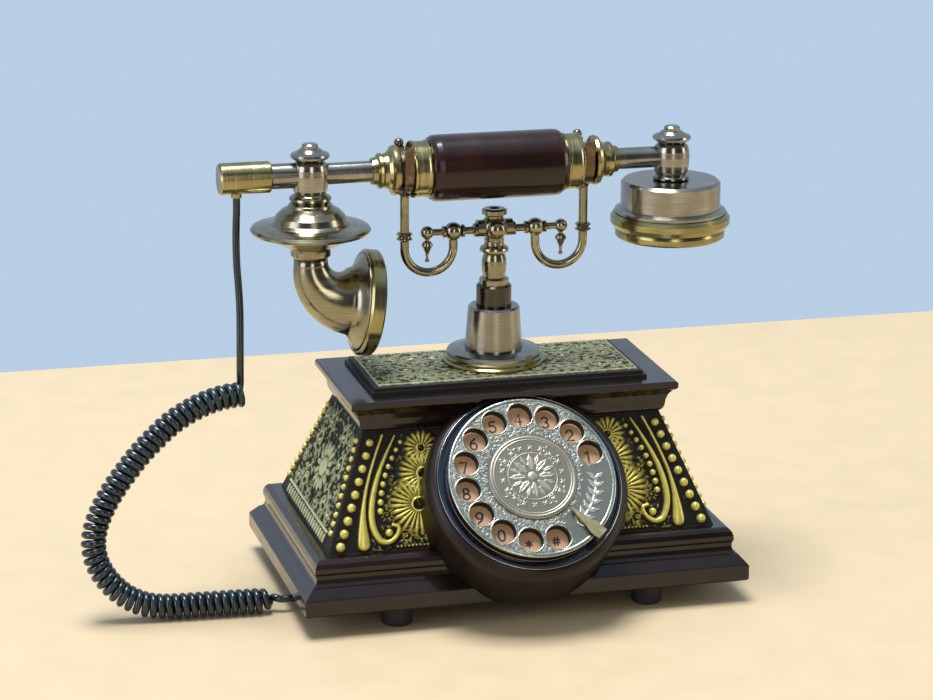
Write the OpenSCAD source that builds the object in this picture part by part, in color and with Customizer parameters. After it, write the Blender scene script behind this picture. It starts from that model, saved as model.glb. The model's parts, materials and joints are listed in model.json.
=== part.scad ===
// Ornate desk telephone: stepped base, tilted dial, spring-loaded cradle and a two-piece handset.
// Millimetres. +Z up, +X to the user's right, -Y towards the user.
// The origin is on the table, under the centre of the base.

/* [Base] */
// Width of the plinth, left to right
plinth_w = 225; // [185:1:270]
// Depth of the plinth, front to back
plinth_d = 141; // [132:1:170]
// Height of the feet
foot_h = 11; // [11:0.5:16]
// Diameter of a foot
foot_dia = 16; // [10:0.5:22]
// Height of the plinth casting
plinth_h = 26; // [24:0.5:32]
// Height of the sloping body
body_h = 54.5; // [50:0.5:66]
// Height of the cornice
cornice_h = 16.7; // [15:0.1:21]
// Height of the embossed top plate
plate_h = 3.7; // [2.4:0.1:6]
// Wall of the castings
wall = 4; // [3:0.25:5]
// Width of the shelf between the plinth's edge and the body's foot
body_inset = 14.3; // [12:0.1:18]
// How far each side of the body leans in from foot to top
body_lean = 22.5; // [18:0.5:25]
// How far the cornice overhangs the body at each side
cornice_over_x = 7.3; // [5:0.1:11]
// How far the cornice overhangs the body at front and back
cornice_over_y = 8.3; // [5:0.1:11]
// Cornice that shows at each side of the top plate
plate_in_x = 13; // [9:0.1:16]
// Cornice that shows in front of and behind the top plate
plate_in_y = 11; // [8:0.1:14]

/* [Dial] */
// Angle between the dial's face and the vertical
dial_tilt = 40.5; // [36:0.5:44]
// Height of the dial's centre
dial_z = 74; // [72:0.5:78]
// Diameter of a finger hole
finger_hole_dia = 12.2; // [10:0.1:13]
// Metal between one finger hole and the next
hole_web = 1.48; // [1:0.01:2.2]
// Metal between a finger hole and the edge of the wheel
hole_edge = 2.6; // [2:0.1:3.4]
// Angle between one finger hole and the next
hole_step = 24; // [22:0.5:25]
// Thickness of the finger wheel
wheel_t = 1.8; // [1.2:0.1:2.4]
// Metal between the medallion and the finger holes
medallion_gap = 4.5; // [3:0.1:9]
// Wall of the dial housing
housing_wall = 3.4; // [2.4:0.1:4]
// Width of the bezel ring around the wheel
bezel_ring = 3.8; // [3:0.1:5]
// Gap between the wheel and the number plate
wheel_gap = 3.6; // [2.5:0.1:4.5]
// Diameter of the dial spindle
spindle_dia = 5; // [4:0.1:6]

/* [Column] */
// Diameter of the flange ring at the column's foot
flange_dia = 50.2; // [40:0.2:54]
// Diameter of the disc on the flange
disc_dia = 47.2; // [36:0.2:50]
// Diameter of the sleeve at its foot
sleeve_dia = 28.8; // [24:0.2:34]
// Height of the sleeve
sleeve_h = 21.4; // [18:0.2:28]
// Diameter of the plunger that carries the cradle
plunger_dia = 17.6; // [14:0.1:20]
// Length of plunger that shows above the sleeve
plunger_show = 10.9; // [8:0.1:14]
// Height of the turned stem above the plunger
stem_h = 22.6; // [18:0.2:28]
// Radial clearance of the running fits
run_gap = 0.05; // [0.01:0.01:0.1]

/* [Cradle] */
// Distance from the column to a hook's ball
ball_x = 21; // [18:0.5:22]
// Diameter of the hook tube
hook_dia = 4.4; // [3.6:0.1:5]
// Height of the handset's axis above the cradle boss
fork_rise = 31.6; // [29:0.1:36]
// Width of a fork's strap
fork_w = 4.6; // [3.6:0.1:5]
// Thickness of a fork's strap
fork_t = 2.2; // [1.6:0.1:2.6]

/* [Handset] */
// Diameter of the grip
grip_dia = 33; // [28:0.5:36]
// Length of the grip
grip_len = 68.4; // [60:0.2:84]
// Diameter of the handset tube
tube_dia = 10.6; // [8.8:0.1:12.8]
// Diameter of the ferrules beside the grip
ferrule_dia = 27.6; // [24:0.2:30]
// Diameter of the grooves that lie in the forks
groove_dia = 18.6; // [16:0.1:20]
// Largest diameter of the bell collars
collar_dia = 25; // [22:0.2:28]
// Distance from the column to the mouthpiece boss
mouth_x = 93; // [88:0.5:100]
// Distance from the column to the earpiece boss
ear_x = 91.5; // [88:0.5:100]
// Diameter of the mouthpiece brim
brim_dia = 59.2; // [50:0.2:62]
// Diameter of the horn's rim
rim_dia = 52.7; // [44:0.1:56]
// Bend radius of the horn
horn_bend = 20; // [18:0.5:22]
// Diameter of the ear cup
cup_dia = 50; // [44:0.5:54]
// Diameter of the ear cap
cap_dia = 60; // [54:0.5:62]
// Length of the end cap
end_cap_len = 25.5; // [22:0.5:30]
// Diameter of the end cap
end_cap_dia = 15.6; // [14:0.1:18]

/* [Hidden] */
$fn = 64;
eps = 0.5;

// Levels of the base, from the table up
plinth_z = foot_h;
body_z = plinth_z + plinth_h;
cornice_z = body_z + body_h;
plate_z = cornice_z + cornice_h;
flange_z = plate_z + plate_h;

// The base in plan
body_w = plinth_w - 2 * body_inset;
body_d = plinth_d - 2 * body_inset;
body_top_w = body_w - 2 * body_lean;
body_top_d = body_d - 2 * body_lean;
cornice_w = body_top_w + 2 * cornice_over_x;
cornice_d = body_top_d + 2 * cornice_over_y;
plate_w = cornice_w - 2 * plate_in_x;
plate_d = cornice_d - 2 * plate_in_y;
floor_t = 2.5;
floor_gap = 0.3;
fascia_share = 0.31;
deck_t = 3.8;
foot_x = plinth_w / 2 - 48.5;
foot_y = plinth_d / 2 - 14.5;
post_x = plinth_w / 2 - 19.5;
post_y = plinth_d / 2 - 19.5;
post_dia = 10;
screw_dia = 2.8;
screw_len = 14;
screw_head_dia = 6.2;
screw_head_h = 1.5;

// Each outline is a list of [inset, share of the height], from the foot up
plinth_outline = [
    [1, 0], [0, 0.04], [0, fascia_share], [0.5, 0.335], [4.4, 0.5], [5.4, 0.512], [6.6, 0.562],
    [7.1, 0.638], [6.9, 0.715], [6.2, 0.762], [6.3, 0.846], [7.1, 0.93], [8.4, 0.985], [9.4, 1]
];
cornice_outline = [
    [8.9, 0], [7.2, 0.03], [6, 0.1], [5.3, 0.21], [4.9, 0.39], [3.9, 0.57], [2.2, 0.71],
    [0.6, 0.77], [0, 0.82], [0, 0.95], [0.8, 1]
];
plate_outline = [[0, 0], [0, 0.43], [1.6, 0.43], [1.6, 0.92], [1.9, 1]];

// The dial, in its own frame: +Z out of the face, +Y up the face, face of the wheel at 0
dial_y = -plinth_d / 2;
finger_circle_r = (finger_hole_dia + hole_web) / (2 * sin(hole_step / 2));
wheel_r = finger_circle_r + finger_hole_dia / 2 + hole_edge;
medallion_r = finger_circle_r - finger_hole_dia / 2 - medallion_gap;
hole_count = 12;
first_hole = 19;
stop_angle = -49;
bezel_z = -wheel_t - wheel_gap;
bezel_in = wheel_r + 0.2;
bezel_out = bezel_in + bezel_ring;
bezel_h = 6.4;
number_t = 1;
number_in = medallion_r + 1.2;
ledge_in = wheel_r - 4.6;
housing_in = bezel_out + 0.1;
housing_out = housing_in + housing_wall + 1.4;
lip_h = 5.5;
// The rounded lip, as [step in from the outside, share of its height down from the top]
lip_outline = [[0, 1], [0.6, 0.62], [1.8, 0.3], [3.4, 0.08], [4.4, 0]];
housing_z = bezel_z - 1;
housing_back = -44;
dial_gap = 0.2;
frame_z = bezel_z - bezel_h;
frame_t = 1.6;
bush_dia = 9;
big_teeth = 38;
small_teeth = 10;
tooth_tip = 0.75;
train_gap = 1.95;
gear_m = (housing_in - train_gap) / (big_teeth + small_teeth / 2 + tooth_tip);
gear_t = 2.4;
drive_z = frame_z - frame_t - 1.2 - gear_t;
train_z = drive_z - 2 - gear_t;
centre_gap = gear_m * (big_teeth + small_teeth) / 2;
cam_angle = 200;
governor_turn = -36;
cam_at = centre_gap * [cos(cam_angle), sin(cam_angle)];
governor_at = cam_at + centre_gap * [cos(governor_turn), sin(governor_turn)];
train_shaft_dia = 3;
governor_dia = 19;

// The column and the cradle
column_y = 2.5;
ferrule_len = 8.8;
groove_len = 5.6;
flange_h = 4.7;
disc_h = 3.5;
disc_z = flange_z + flange_h;
sleeve_z = disc_z + disc_h;
sleeve_top = sleeve_z + sleeve_h;
plunger_top = sleeve_top + plunger_show;
plunger_z = sleeve_z + 8;
rod_dia = 5.6;
rod_hole_dia = 6.8;
rod_bottom = plate_z - 15.5;
stem_gap = 6;
boss_z = plunger_top + stem_h + stem_gap;
handset_z = boss_z + fork_rise;
arm_z = boss_z - 0.8;
fork_x = grip_len / 2 + ferrule_len + groove_len / 2;
bow_r = (fork_x - ball_x) / 2;
bow_x = (fork_x + ball_x) / 2;
bow_z = arm_z - 7.7;
end_ball_x = ball_x + 13.3;
hook_top = 4;
finial_top = 3;
finial_neck = 1.2;
fork_gap = 0.3;
fork_in = groove_dia / 2 + fork_gap;
fork_out = fork_in + fork_t;
fork_prong = 9.6;
fork_ball = 2.4;

// The handset, measured from the column along its axis
collar_len = 14;
grip_half = grip_len / 2;
groove_x = grip_half + ferrule_len;
collar_x = groove_x + groove_len;
boss_top = tube_dia / 2 + 1.5;
boss_foot = 9.1;
mouth_z = handset_z - boss_foot;
cap_x = mouth_x + 19.7;
grommet_x = cap_x + 16.8;
horn_lean = 8;
horn_turn = 90 - horn_lean;
horn_wall = 1.8;
horn_z = mouth_z - 32.1;
flare_len = 7;
rim_len = 7.5;
cup_z = handset_z - 11.9;

// What the base holds
board_y = 8;
board_rise = 5;
speaker_x = plinth_w / 2 - 40.5;
speaker_dia = 30;
board_w = 2 * speaker_x - speaker_dia - 2;
board_d = 64;
board_margin = 6;

// The sockets: the curly cord's under the left edge, the line's at the back
jack_size = [15, 13, foot_h - 1.8];
jack_x = -plinth_w / 2 + 7;
jack_y = -28;
jack_z = 6.5;
plug_size = [8, 7.2, 6.2];
plug_reach = 1;
line_x = plinth_w / 2 - 50.5;
line_size = [16, 13, 12];
line_hole = [11, 9, 7];
knob_x = line_x - 32;
knob_slot = [16, 5];

// The curly cord: a straight lead from the end cap, the curl, and a short tail to the plug
cord_dia = 3.4;
curl_dia = 12.8;
lead_route = [
    [-129.5, 2.5, 203.2], [-129.5, 2.5, 197], [-129.9, 2.2, 189], [-130.2, 1.4, 180],
    [-130.2, 0.4, 170], [-129.8, -1, 160], [-129.6, -2.4, 150], [-129.8, -3.8, 140],
    [-130.2, -5.2, 130], [-130.4, -6.6, 120], [-130, -8, 112]
];
curl_route = [
    [-130, -8, 107], [-139, -9, 106.5], [-148, -10, 104.5], [-157, -11, 101], [-166, -12, 96],
    [-174, -13, 89.5], [-182, -14, 82], [-189, -15, 74], [-196, -16, 65], [-201, -17, 57],
    [-205, -18, 48], [-206.5, -19, 39], [-205, -20, 30], [-200.5, -21, 21.5],
    [-193.5, -22, 14], [-185, -23, 9], [-176, -24, 6.8], [-166, -25, 6.5], [-156, -25.6, 6.5],
    [-146, -26.2, 6.5], [-136, -26.8, 6.5], [-126, -27.4, 6.5], [-115, -28, 6.5]
];
tail_route = [[-115, -28, 6.5], [-112, -28, 6.5], [-109, -28, 6.5], [-106.5, -28, 6.5]];

// ---- Shared shapes ----

// A rectangular casting whose four sides follow one outline, mitred at the corners
module moulding(w, d, z, h, outline) {
    intersection() {
        rotate([90, 0, 0])
            linear_extrude(d + 2, center = true)
                polygon(both_sides(w / 2, z, h, outline));
        rotate([90, 0, 90])
            linear_extrude(w + 2, center = true)
                polygon(both_sides(d / 2, z, h, outline));
    }
}

function both_sides(half, z, h, outline) = concat(
    [for (p = outline) [half - p[0], z + h * p[1]]],
    [for (i = [len(outline) - 1 : -1 : 0]) [outline[i][0] - half, z + h * outline[i][1]]]
);

// A block that stands on z, centred on the Z axis
module block(w, d, z, h) {
    translate([-w / 2, -d / 2, z])
        cube([w, d, h]);
}

// A round piece turned about Z from [radius, height] points
module turned(points) {
    rotate_extrude()
        polygon(points);
}

module at_dial() {
    translate([0, dial_y, dial_z])
        rotate([90 - dial_tilt, 0, 0])
            children();
}

module at_column() {
    translate([0, column_y, 0])
        children();
}

// Left and right copies about the column
module both_hands() {
    for (side = [0, 1])
        mirror([side, 0, 0])
            children();
}

// Lays a piece turned about Z along +X, on the handset's axis
module along_handset() {
    translate([0, column_y, handset_z])
        rotate([0, 90, 0])
            children();
}

module corners(x, y) {
    for (sx = [-1, 1], sy = [-1, 1])
        translate([sx * x, sy * y, 0])
            children();
}

// A closed skin around a route, with one radius for each point
module swept(route, radii, sides) {
    last = len(route) - 1;
    rings = [for (i = [0 : last]) ring(route, i, radii[i], sides)];
    points = [for (r = rings, p = r) p];
    walls = [
        for (i = [0 : last - 1], k = [0 : sides - 1])
            let (a = i * sides + k, b = i * sides + (k + 1) % sides)
                [a, b, b + sides, a + sides]
    ];
    ends = [
        [for (k = [sides - 1 : -1 : 0]) k],
        [for (k = [0 : sides - 1]) last * sides + k]
    ];
    polyhedron(points = points, faces = concat(walls, ends), convexity = 6);
}

function unit(v) = v / norm(v);
function heading(route, i) = unit(
    route[min(i + 1, len(route) - 1)] - route[max(i - 1, 0)]
);
// Level across the route; straight drops take the Y axis
function across(t) = norm(cross(t, [0, 1, 0])) > 0.01 ? unit(cross(t, [0, 1, 0])) : [1, 0, 0];
function ring(route, i, r, sides) =
    let (t = heading(route, i), u = across(t), v = cross(u, t))
        [for (k = [0 : sides - 1])
            route[i] + r * (cos(360 * k / sides) * u + sin(360 * k / sides) * v)];

// A spur wheel; its first tooth points along the angle given
module spur(teeth, first, t) {
    linear_extrude(t)
        polygon(spur_outline(teeth, first));
}

function spur_outline(teeth, first) =
    let (r = gear_m * teeth / 2, root = r - 1.15 * gear_m, tip = r + tooth_tip * gear_m)
        [for (i = [0 : teeth - 1], c = [[root, -0.8], [tip, -0.36], [tip, 0.36], [root, 0.8]])
            let (a = first + 360 * i / teeth + c[1] * gear_m * 180 / (PI * c[0]))
                c[0] * [cos(a), sin(a)]];

// ---- Base ----

// The dial housing's outside, grown by a gap and run on forward through the cornice
module housing_room(gap) {
    at_dial()
        rotate_extrude()
            polygon(concat(
                [[0, housing_back - gap], [housing_out + gap, housing_back - gap]],
                [for (p = lip_outline)
                    [housing_out - p[0] + gap, housing_z - p[1] * lip_h + gap]],
                [[housing_in + 0.4 + gap, 40], [0, 40]]
            ));
}

module plinth() {
    color("#2a1512")
        difference() {
            union() {
                difference() {
                    moulding(plinth_w, plinth_d, plinth_z, plinth_h, plinth_outline);
                    block(plinth_w - 2 * wall, plinth_d - 2 * wall, plinth_z - eps,
                        plinth_h * fascia_share + eps);
                    block(plinth_w - 2 * wall - 20, plinth_d - 2 * wall - 20, plinth_z,
                        plinth_h - deck_t);
                    block(body_w - 20, body_d - 20, plinth_z, plinth_h + eps);
                }
                corners(post_x, post_y)
                    translate([0, 0, plinth_z + floor_t])
                        cylinder(d = post_dia, h = plinth_h - floor_t - deck_t + eps);
            }
            corners(post_x, post_y)
                translate([0, 0, plinth_z])
                    cylinder(d = screw_dia, h = screw_len);
            at_dial()
                translate([0, 0, housing_back - dial_gap])
                    cylinder(r = housing_out + dial_gap, h = 90);
            line_recess();
            knob_recess();
        }
}

module bottom_plate() {
    color("#1c1a19")
        difference() {
            union() {
                block(plinth_w - 2 * wall - 2 * floor_gap, plinth_d - 2 * wall - 2 * floor_gap,
                    plinth_z, floor_t);
                translate([0, board_y, plinth_z + floor_t - eps])
                    corners(board_w / 2 - board_margin, board_d / 2 - board_margin)
                        cylinder(d = 6, h = board_rise + eps);
            }
            corners(post_x, post_y)
                translate([0, 0, plinth_z - eps])
                    cylinder(d = screw_dia + 0.6, h = floor_t + 2 * eps);
            at_dial()
                translate([0, 0, housing_back - dial_gap])
                    cylinder(r = housing_out + dial_gap, h = 90);
            for (turn = [0 : 60 : 300])
                translate([-speaker_x + 10 * cos(turn), 10 * sin(turn), plinth_z - eps])
                    cylinder(d = 3, h = floor_t + 2 * eps);
        }
}

module feet() {
    color("#161616")
        corners(foot_x, foot_y)
            turned([
                [0, 0], [foot_dia / 2 - 1.2, 0], [foot_dia / 2 - 0.5, 0.7],
                [foot_dia / 2, foot_h], [0, foot_h]
            ]);
}

module bottom_screws() {
    color("#8d8d88")
        corners(post_x, post_y)
            translate([0, 0, plinth_z]) {
                cylinder(d = screw_dia, h = screw_len - 1);
                difference() {
                    translate([0, 0, -screw_head_h])
                        cylinder(d = screw_head_dia, h = screw_head_h);
                    translate([-screw_head_dia, -0.4, -screw_head_h - eps])
                        cube([2 * screw_head_dia, 0.8, 0.6 + eps]);
                }
            }
}

module body_shell() {
    lean = [[0, 0], [body_lean, 1]];
    color("#6b5a1e")
        difference() {
            moulding(body_w, body_d, body_z, body_h, lean);
            moulding(body_w - 2 * wall, body_d - 2 * wall, body_z - eps, body_h + 2 * eps, lean);
            at_dial()
                translate([0, 0, housing_back - dial_gap])
                    cylinder(r = housing_out + dial_gap, h = 90);
        }
}

module cornice() {
    color("#2a1512")
        difference() {
            moulding(cornice_w, cornice_d, cornice_z, cornice_h, cornice_outline);
            block(body_top_w - 2 * wall - 6, body_top_d - 2 * wall - 6, cornice_z - eps,
                cornice_h - 5 + eps);
            at_column()
                translate([0, 0, cornice_z])
                    cylinder(d = rod_hole_dia, h = cornice_h + eps);
            intersection() {
                housing_room(dial_gap);
                block(cornice_w, 2 * cornice_d, 0, plate_z - 2);
            }
        }
}

module top_plate() {
    color("#57501f")
        difference() {
            moulding(plate_w, plate_d, plate_z, plate_h, plate_outline);
            at_column()
                translate([0, 0, plate_z - eps])
                    cylinder(d = rod_hole_dia, h = plate_h + 2 * eps);
        }
}

// ---- Dial ----

module dial_housing() {
    color("#24130f")
        intersection() {
            at_dial()
                turned(concat(
                    [[housing_in, housing_back], [housing_out, housing_back]],
                    [for (p = lip_outline) [housing_out - p[0], housing_z - p[1] * lip_h]],
                    [[housing_in, housing_z - 0.3]]
                ));
            block(3 * plinth_w, 4 * plinth_d, plinth_z, 2 * dial_z);
        }
}

module dial_bezel() {
    color("#10141c")
        at_dial()
            turned([
                [ledge_in, frame_z], [bezel_out, frame_z], [bezel_out, bezel_z - 0.5],
                [bezel_out - 0.5, bezel_z], [bezel_out - 1.1, bezel_z],
                [bezel_out - 1.5, bezel_z - 1.6], [bezel_in, bezel_z - 1.6],
                [bezel_in, bezel_z - number_t], [ledge_in, bezel_z - number_t]
            ]);
}

module number_plate() {
    color("#c9a27c")
        at_dial()
            turned([
                [number_in, bezel_z - number_t], [wheel_r - 0.3, bezel_z - number_t],
                [wheel_r - 0.3, bezel_z], [number_in, bezel_z]
            ]);
}

// A strip that rises from the bezel and folds in over the wheel's face
module finger_stop() {
    top = 2.6;
    color("#b08a3c")
        at_dial()
            rotate([0, 0, stop_angle]) {
                translate([wheel_r + 0.6, -3.2, bezel_z - 1.6])
                    cube([1.8, 6.4, top - bezel_z + 1.6]);
                translate([0, 0, 1.2])
                    linear_extrude(top - 1.2)
                        polygon([
                            [medallion_r + 2, -0.7], [medallion_r + 6, -1.1],
                            [wheel_r - 8, -1.9], [wheel_r - 3, -3.2], [wheel_r + 2.4, -3.2],
                            [wheel_r + 2.4, 3.2], [wheel_r - 3, 3.2], [wheel_r - 8, 1.9],
                            [medallion_r + 6, 1.1], [medallion_r + 2, 0.7]
                        ]);
            }
}

module dial_frame() {
    color("#9a9a94")
        at_dial()
            difference() {
                union() {
                    translate([0, 0, frame_z - frame_t])
                        cylinder(r = bezel_out - 1, h = frame_t);
                    for (at = [cam_at, governor_at])
                        translate([at[0], at[1], frame_z - frame_t - 0.8])
                            cylinder(d = train_shaft_dia + 3, h = 0.8 + frame_t);
                }
                translate([0, 0, frame_z - 2 * frame_t])
                    cylinder(d = bush_dia, h = 3 * frame_t);
                for (at = [cam_at, governor_at])
                    translate([at[0], at[1], frame_z - 3 * frame_t])
                        cylinder(d = train_shaft_dia + 2 * run_gap, h = 4 * frame_t);
            }
}

module spindle_bush() {
    color("#b5924a")
        at_dial()
            difference() {
                translate([0, 0, frame_z - frame_t])
                    cylinder(d = bush_dia, h = frame_t + 4.6);
                translate([0, 0, frame_z - 2 * frame_t])
                    cylinder(d = spindle_dia + 2 * run_gap, h = 6 * frame_t);
            }
}

// A flat spiral between the frame and the number plate
module mainspring() {
    turns = 5;
    steps = 24 * turns;
    inner = bush_dia / 2 + 0.4;
    pitch = 2;
    strip = 0.5;
    path = [for (i = [0 : steps]) [inner + pitch * i / 24, 15 * i]];
    color("#6f7680")
        at_dial()
            translate([0, 0, frame_z + 0.6])
                linear_extrude(2.6)
                    polygon(concat(
                        [for (p = path) p[0] * [cos(p[1]), sin(p[1])]],
                        [for (i = [steps : -1 : 0])
                            (path[i][0] + strip) * [cos(path[i][1]), sin(path[i][1])]]
                    ));
}

module finger_wheel() {
    color("#8f968c")
        at_dial()
            difference() {
                turned([
                    [0, -wheel_t], [wheel_r - 0.5, -wheel_t], [wheel_r, -wheel_t + 0.5],
                    [wheel_r, -0.5], [wheel_r - 0.5, 0], [0, 0]
                ]);
                for (i = [0 : hole_count - 1])
                    rotate([0, 0, first_hole + hole_step * i])
                        translate([finger_circle_r, 0, -wheel_t - eps])
                            cylinder(d = finger_hole_dia, h = wheel_t + 2 * eps);
                translate([0, 0, -wheel_t - eps])
                    cylinder(d = spindle_dia, h = wheel_t + 2 * eps);
            }
}

module medallion() {
    r = medallion_r;
    color("#7d786a")
        at_dial()
            turned([[0, 0], [r, 0], [r, 0.5], [r - 0.4, 0.9], [0, 0.9]]);
}

module dial_spindle() {
    color("#a9a9a4")
        at_dial()
            translate([0, 0, drive_z - 1])
                cylinder(d = spindle_dia, h = 1 - drive_z);
}

module drive_gear() {
    color("#b5924a")
        at_dial()
            translate([0, 0, drive_z])
                difference() {
                    spur(big_teeth, cam_angle, gear_t);
                    translate([0, 0, -eps])
                        cylinder(d = spindle_dia, h = gear_t + 2 * eps);
                    for (turn = [0 : 90 : 270])
                        rotate([0, 0, turn])
                            translate([11 * gear_m, 0, -eps])
                                cylinder(d = 8 * gear_m, h = gear_t + 2 * eps);
                }
}

// The pulse cam's shaft, driven by the drive gear and driving the governor
module pulse_shaft() {
    color("#a9a9a4")
        at_dial()
            translate([cam_at[0], cam_at[1], 0]) {
                translate([0, 0, train_z - 6])
                    cylinder(d = train_shaft_dia, h = frame_z - train_z + 6);
                translate([0, 0, drive_z - 0.4])
                    spur(small_teeth, cam_angle + 180 + 180 / small_teeth, gear_t + 0.4);
                translate([0, 0, train_z])
                    spur(big_teeth, governor_turn, gear_t);
                translate([0, 0, train_z - 5])
                    difference() {
                        cylinder(r = 7, h = 2);
                        for (turn = [0, 120, 240])
                            rotate([0, 0, turn])
                                translate([8, 0, -eps])
                                    cylinder(r = 2.6, h = 2 + 2 * eps);
                    }
            }
}

module governor() {
    color("#b5924a")
        at_dial()
            translate([governor_at[0], governor_at[1], 0]) {
                translate([0, 0, train_z - 9])
                    cylinder(d = train_shaft_dia, h = frame_z - train_z + 9);
                translate([0, 0, train_z - 0.4])
                    spur(small_teeth, governor_turn + 180 + 180 / small_teeth, gear_t + 0.8);
                translate([0, 0, train_z - 8])
                    difference() {
                        cylinder(d = governor_dia, h = 3);
                        for (side = [-1, 1])
                            translate([side * 6 - 2.2, -governor_dia, -eps])
                                cube([1, 2 * governor_dia, 3 + 2 * eps]);
                    }
                translate([-governor_dia / 2 + 1, -1.4, train_z - 5.5])
                    cube([governor_dia - 2, 2.8, 1.5]);
            }
}

// ---- Column and hook switch ----

module column_flange() {
    r = flange_dia / 2;
    color("#a8873b")
        at_column()
            translate([0, 0, flange_z])
                difference() {
                    turned([
                        [0, 0], [r - 0.6, 0], [r, 0.8], [r, 1.8], [r - 1, 2.6],
                        [r - 0.8, 3.8], [r - 1.6, flange_h], [0, flange_h]
                    ]);
                    translate([0, 0, -eps])
                        cylinder(d = rod_hole_dia, h = flange_h + 2 * eps);
                }
}

module column_disc() {
    r = disc_dia / 2;
    color("#8b8a84")
        at_column()
            translate([0, 0, disc_z])
                difference() {
                    turned([
                        [0, 0], [r, 0], [r, 1.6], [r - 0.6, 2.4], [r - 6, disc_h], [0, disc_h]
                    ]);
                    translate([0, 0, -eps])
                        cylinder(d = rod_hole_dia, h = disc_h + 2 * eps);
                }
}

module column_sleeve() {
    r = sleeve_dia / 2;
    color("#8b8a84")
        at_column()
            translate([0, 0, sleeve_z])
                difference() {
                    turned([
                        [0, 0], [r, 0], [r - 1.5, sleeve_h - 1], [r - 2.3, sleeve_h],
                        [0, sleeve_h]
                    ]);
                    translate([0, 0, -eps])
                        cylinder(d = plunger_dia + 2 * run_gap, h = sleeve_h + 2 * eps);
                }
}

// A microswitch hung from the cornice, with its button under the plunger's rod
module hook_switch() {
    body = [19, 9, 8];
    button_h = 1.6;
    top = rod_bottom - button_h;
    roof = plate_z - 5;
    color("#1d2430")
        at_column() {
            translate([0, 3, 0])
                block(body[0], body[1], top - body[2], body[2]);
            translate([0, 0, top - eps])
                cylinder(d = 3, h = button_h - 0.1 + eps);
            for (side = [-1, 1])
                translate([side * (body[0] / 2 + 1), 3, 0])
                    block(2.4, body[1], top - body[2], roof - top + body[2]);
        }
}

module hook_spring() {
    turns = 3.5;
    wire = 0.9;
    steps = 14;
    r = rod_dia / 2 + 1.6;
    lift = plunger_z - sleeve_z - wire - 0.2;
    route = [
        for (i = [0 : turns * steps])
            [r * cos(360 * i / steps), r * sin(360 * i / steps),
                sleeve_z + 0.1 + wire / 2 + lift * i / (turns * steps)]
    ];
    color("#9aa0a6")
        at_column()
            swept(route, [for (p = route) wire / 2], 6);
}

// ---- Cradle ----

module hook_plunger() {
    r = plunger_dia / 2;
    color("#3b3a38")
        at_column() {
            turned([
                [0, plunger_z], [r, plunger_z], [r, plunger_top - 0.8],
                [r - 0.8, plunger_top], [0, plunger_top]
            ]);
            translate([0, 0, rod_bottom])
                cylinder(d = rod_dia, h = plunger_z - rod_bottom + eps);
        }
}

module cradle_stem() {
    color("#837660")
        at_column()
            translate([0, 0, plunger_top])
                turned([
                    [0, 0], [7.4, 0], [7.4, 2.8], [5.5, 3.6], [5.6, 4.6], [6, 7], [6.2, 10],
                    [6.1, 12.4], [5.3, 15.4], [5.6, 16], [7.1, 16.8], [7.3, 17.8], [6.9, 18.8],
                    [5, 20], [4.8, 22], [5, stem_h], [0, stem_h]
                ]);
}

module cradle_boss() {
    color("#8a7a50")
        at_column()
            translate([0, 0, boss_z]) {
                difference() {
                    union() {
                        sphere(r = 6.8);
                        translate([0, 0, -stem_gap])
                            cylinder(r = 4.9, h = stem_gap);
                        turned([
                            [0, 4], [4.4, 4], [4.4, 6.2], [6.3, 7.2], [6.3, 9.2],
                            [5, 9.9], [0, 9.9]
                        ]);
                        rotate([0, 90, 0])
                            cylinder(r = 4.2, h = 18, center = true);
                    }
                    translate([0, 0, 8])
                        cylinder(r = 2.6, h = 4);
                    translate([0, 0, -stem_gap - 4])
                        cylinder(r = 8, h = 4);
                }
                for (side = [-1, 1])
                    translate([0, side * 4.6, 0])
                        sphere(r = 4.9);
            }
}

// Each arm's balls are drilled from below for the hook and the drop finial
module cradle_arms() {
    color("#8a7a50")
        at_column()
            both_hands()
                translate([0, 0, arm_z])
                    difference() {
                        rotate([0, 90, 0]) {
                            turned([
                                [0, 9], [3.4, 9], [3.4, 10.4], [1.9, 11.2], [1.9, ball_x - 6],
                                [3.2, ball_x - 5.4], [3.2, ball_x - 4.2], [0, ball_x - 4.2]
                            ]);
                            translate([0, 0, ball_x])
                                sphere(r = 4.6);
                            turned([
                                [0, ball_x + 4.2], [2.9, ball_x + 4.2], [2.9, ball_x + 5.4],
                                [1.7, ball_x + 6], [1.7, end_ball_x - 2], [0, end_ball_x - 2]
                            ]);
                            translate([0, 0, end_ball_x])
                                sphere(r = 3.3);
                        }
                        translate([ball_x, 0, -hook_top - 4])
                            cylinder(d = hook_dia, h = 4);
                        translate([end_ball_x, 0, -finial_top - 2])
                            cylinder(r = finial_neck, h = 2);
                    }
}

module drop_finials() {
    color("#8a7a50")
        at_column()
            both_hands()
                translate([end_ball_x, 0, arm_z - finial_top])
                    turned([
                        [0, 0], [finial_neck, 0], [1, -1], [2.4, -2], [2.9, -3.4], [2, -5], [0.9, -7.4],
                        [0.6, -10], [1.1, -10.8], [1.1, -11.6], [0, -12.2]
                    ]);
}

// A tube that drops from the ball, turns up and carries the fork
module hook() {
    r = hook_dia / 2;
    translate([ball_x, 0, bow_z])
        cylinder(r = r, h = arm_z - bow_z - hook_top);
    translate([bow_x, 0, bow_z])
        rotate([90, 0, 0])
            rotate_extrude(angle = 180, start = 180)
                translate([bow_r, 0])
                    circle(r = r);
    translate([fork_x, 0, bow_z])
        cylinder(r = r, h = handset_z - fork_out - bow_z - 1.4);
    translate([fork_x, 0, arm_z - 3.2])
        turned([
            [0, 0], [3.2, 0], [4.1, 0.8], [3.2, 1.6], [3, 2], [3.2, 2.4], [4.1, 3.2],
            [3.2, 4], [0, 4]
        ]);
}

module hook_left() {
    color("#8a7f62")
        at_column()
            mirror([1, 0, 0])
                hook();
}

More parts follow.
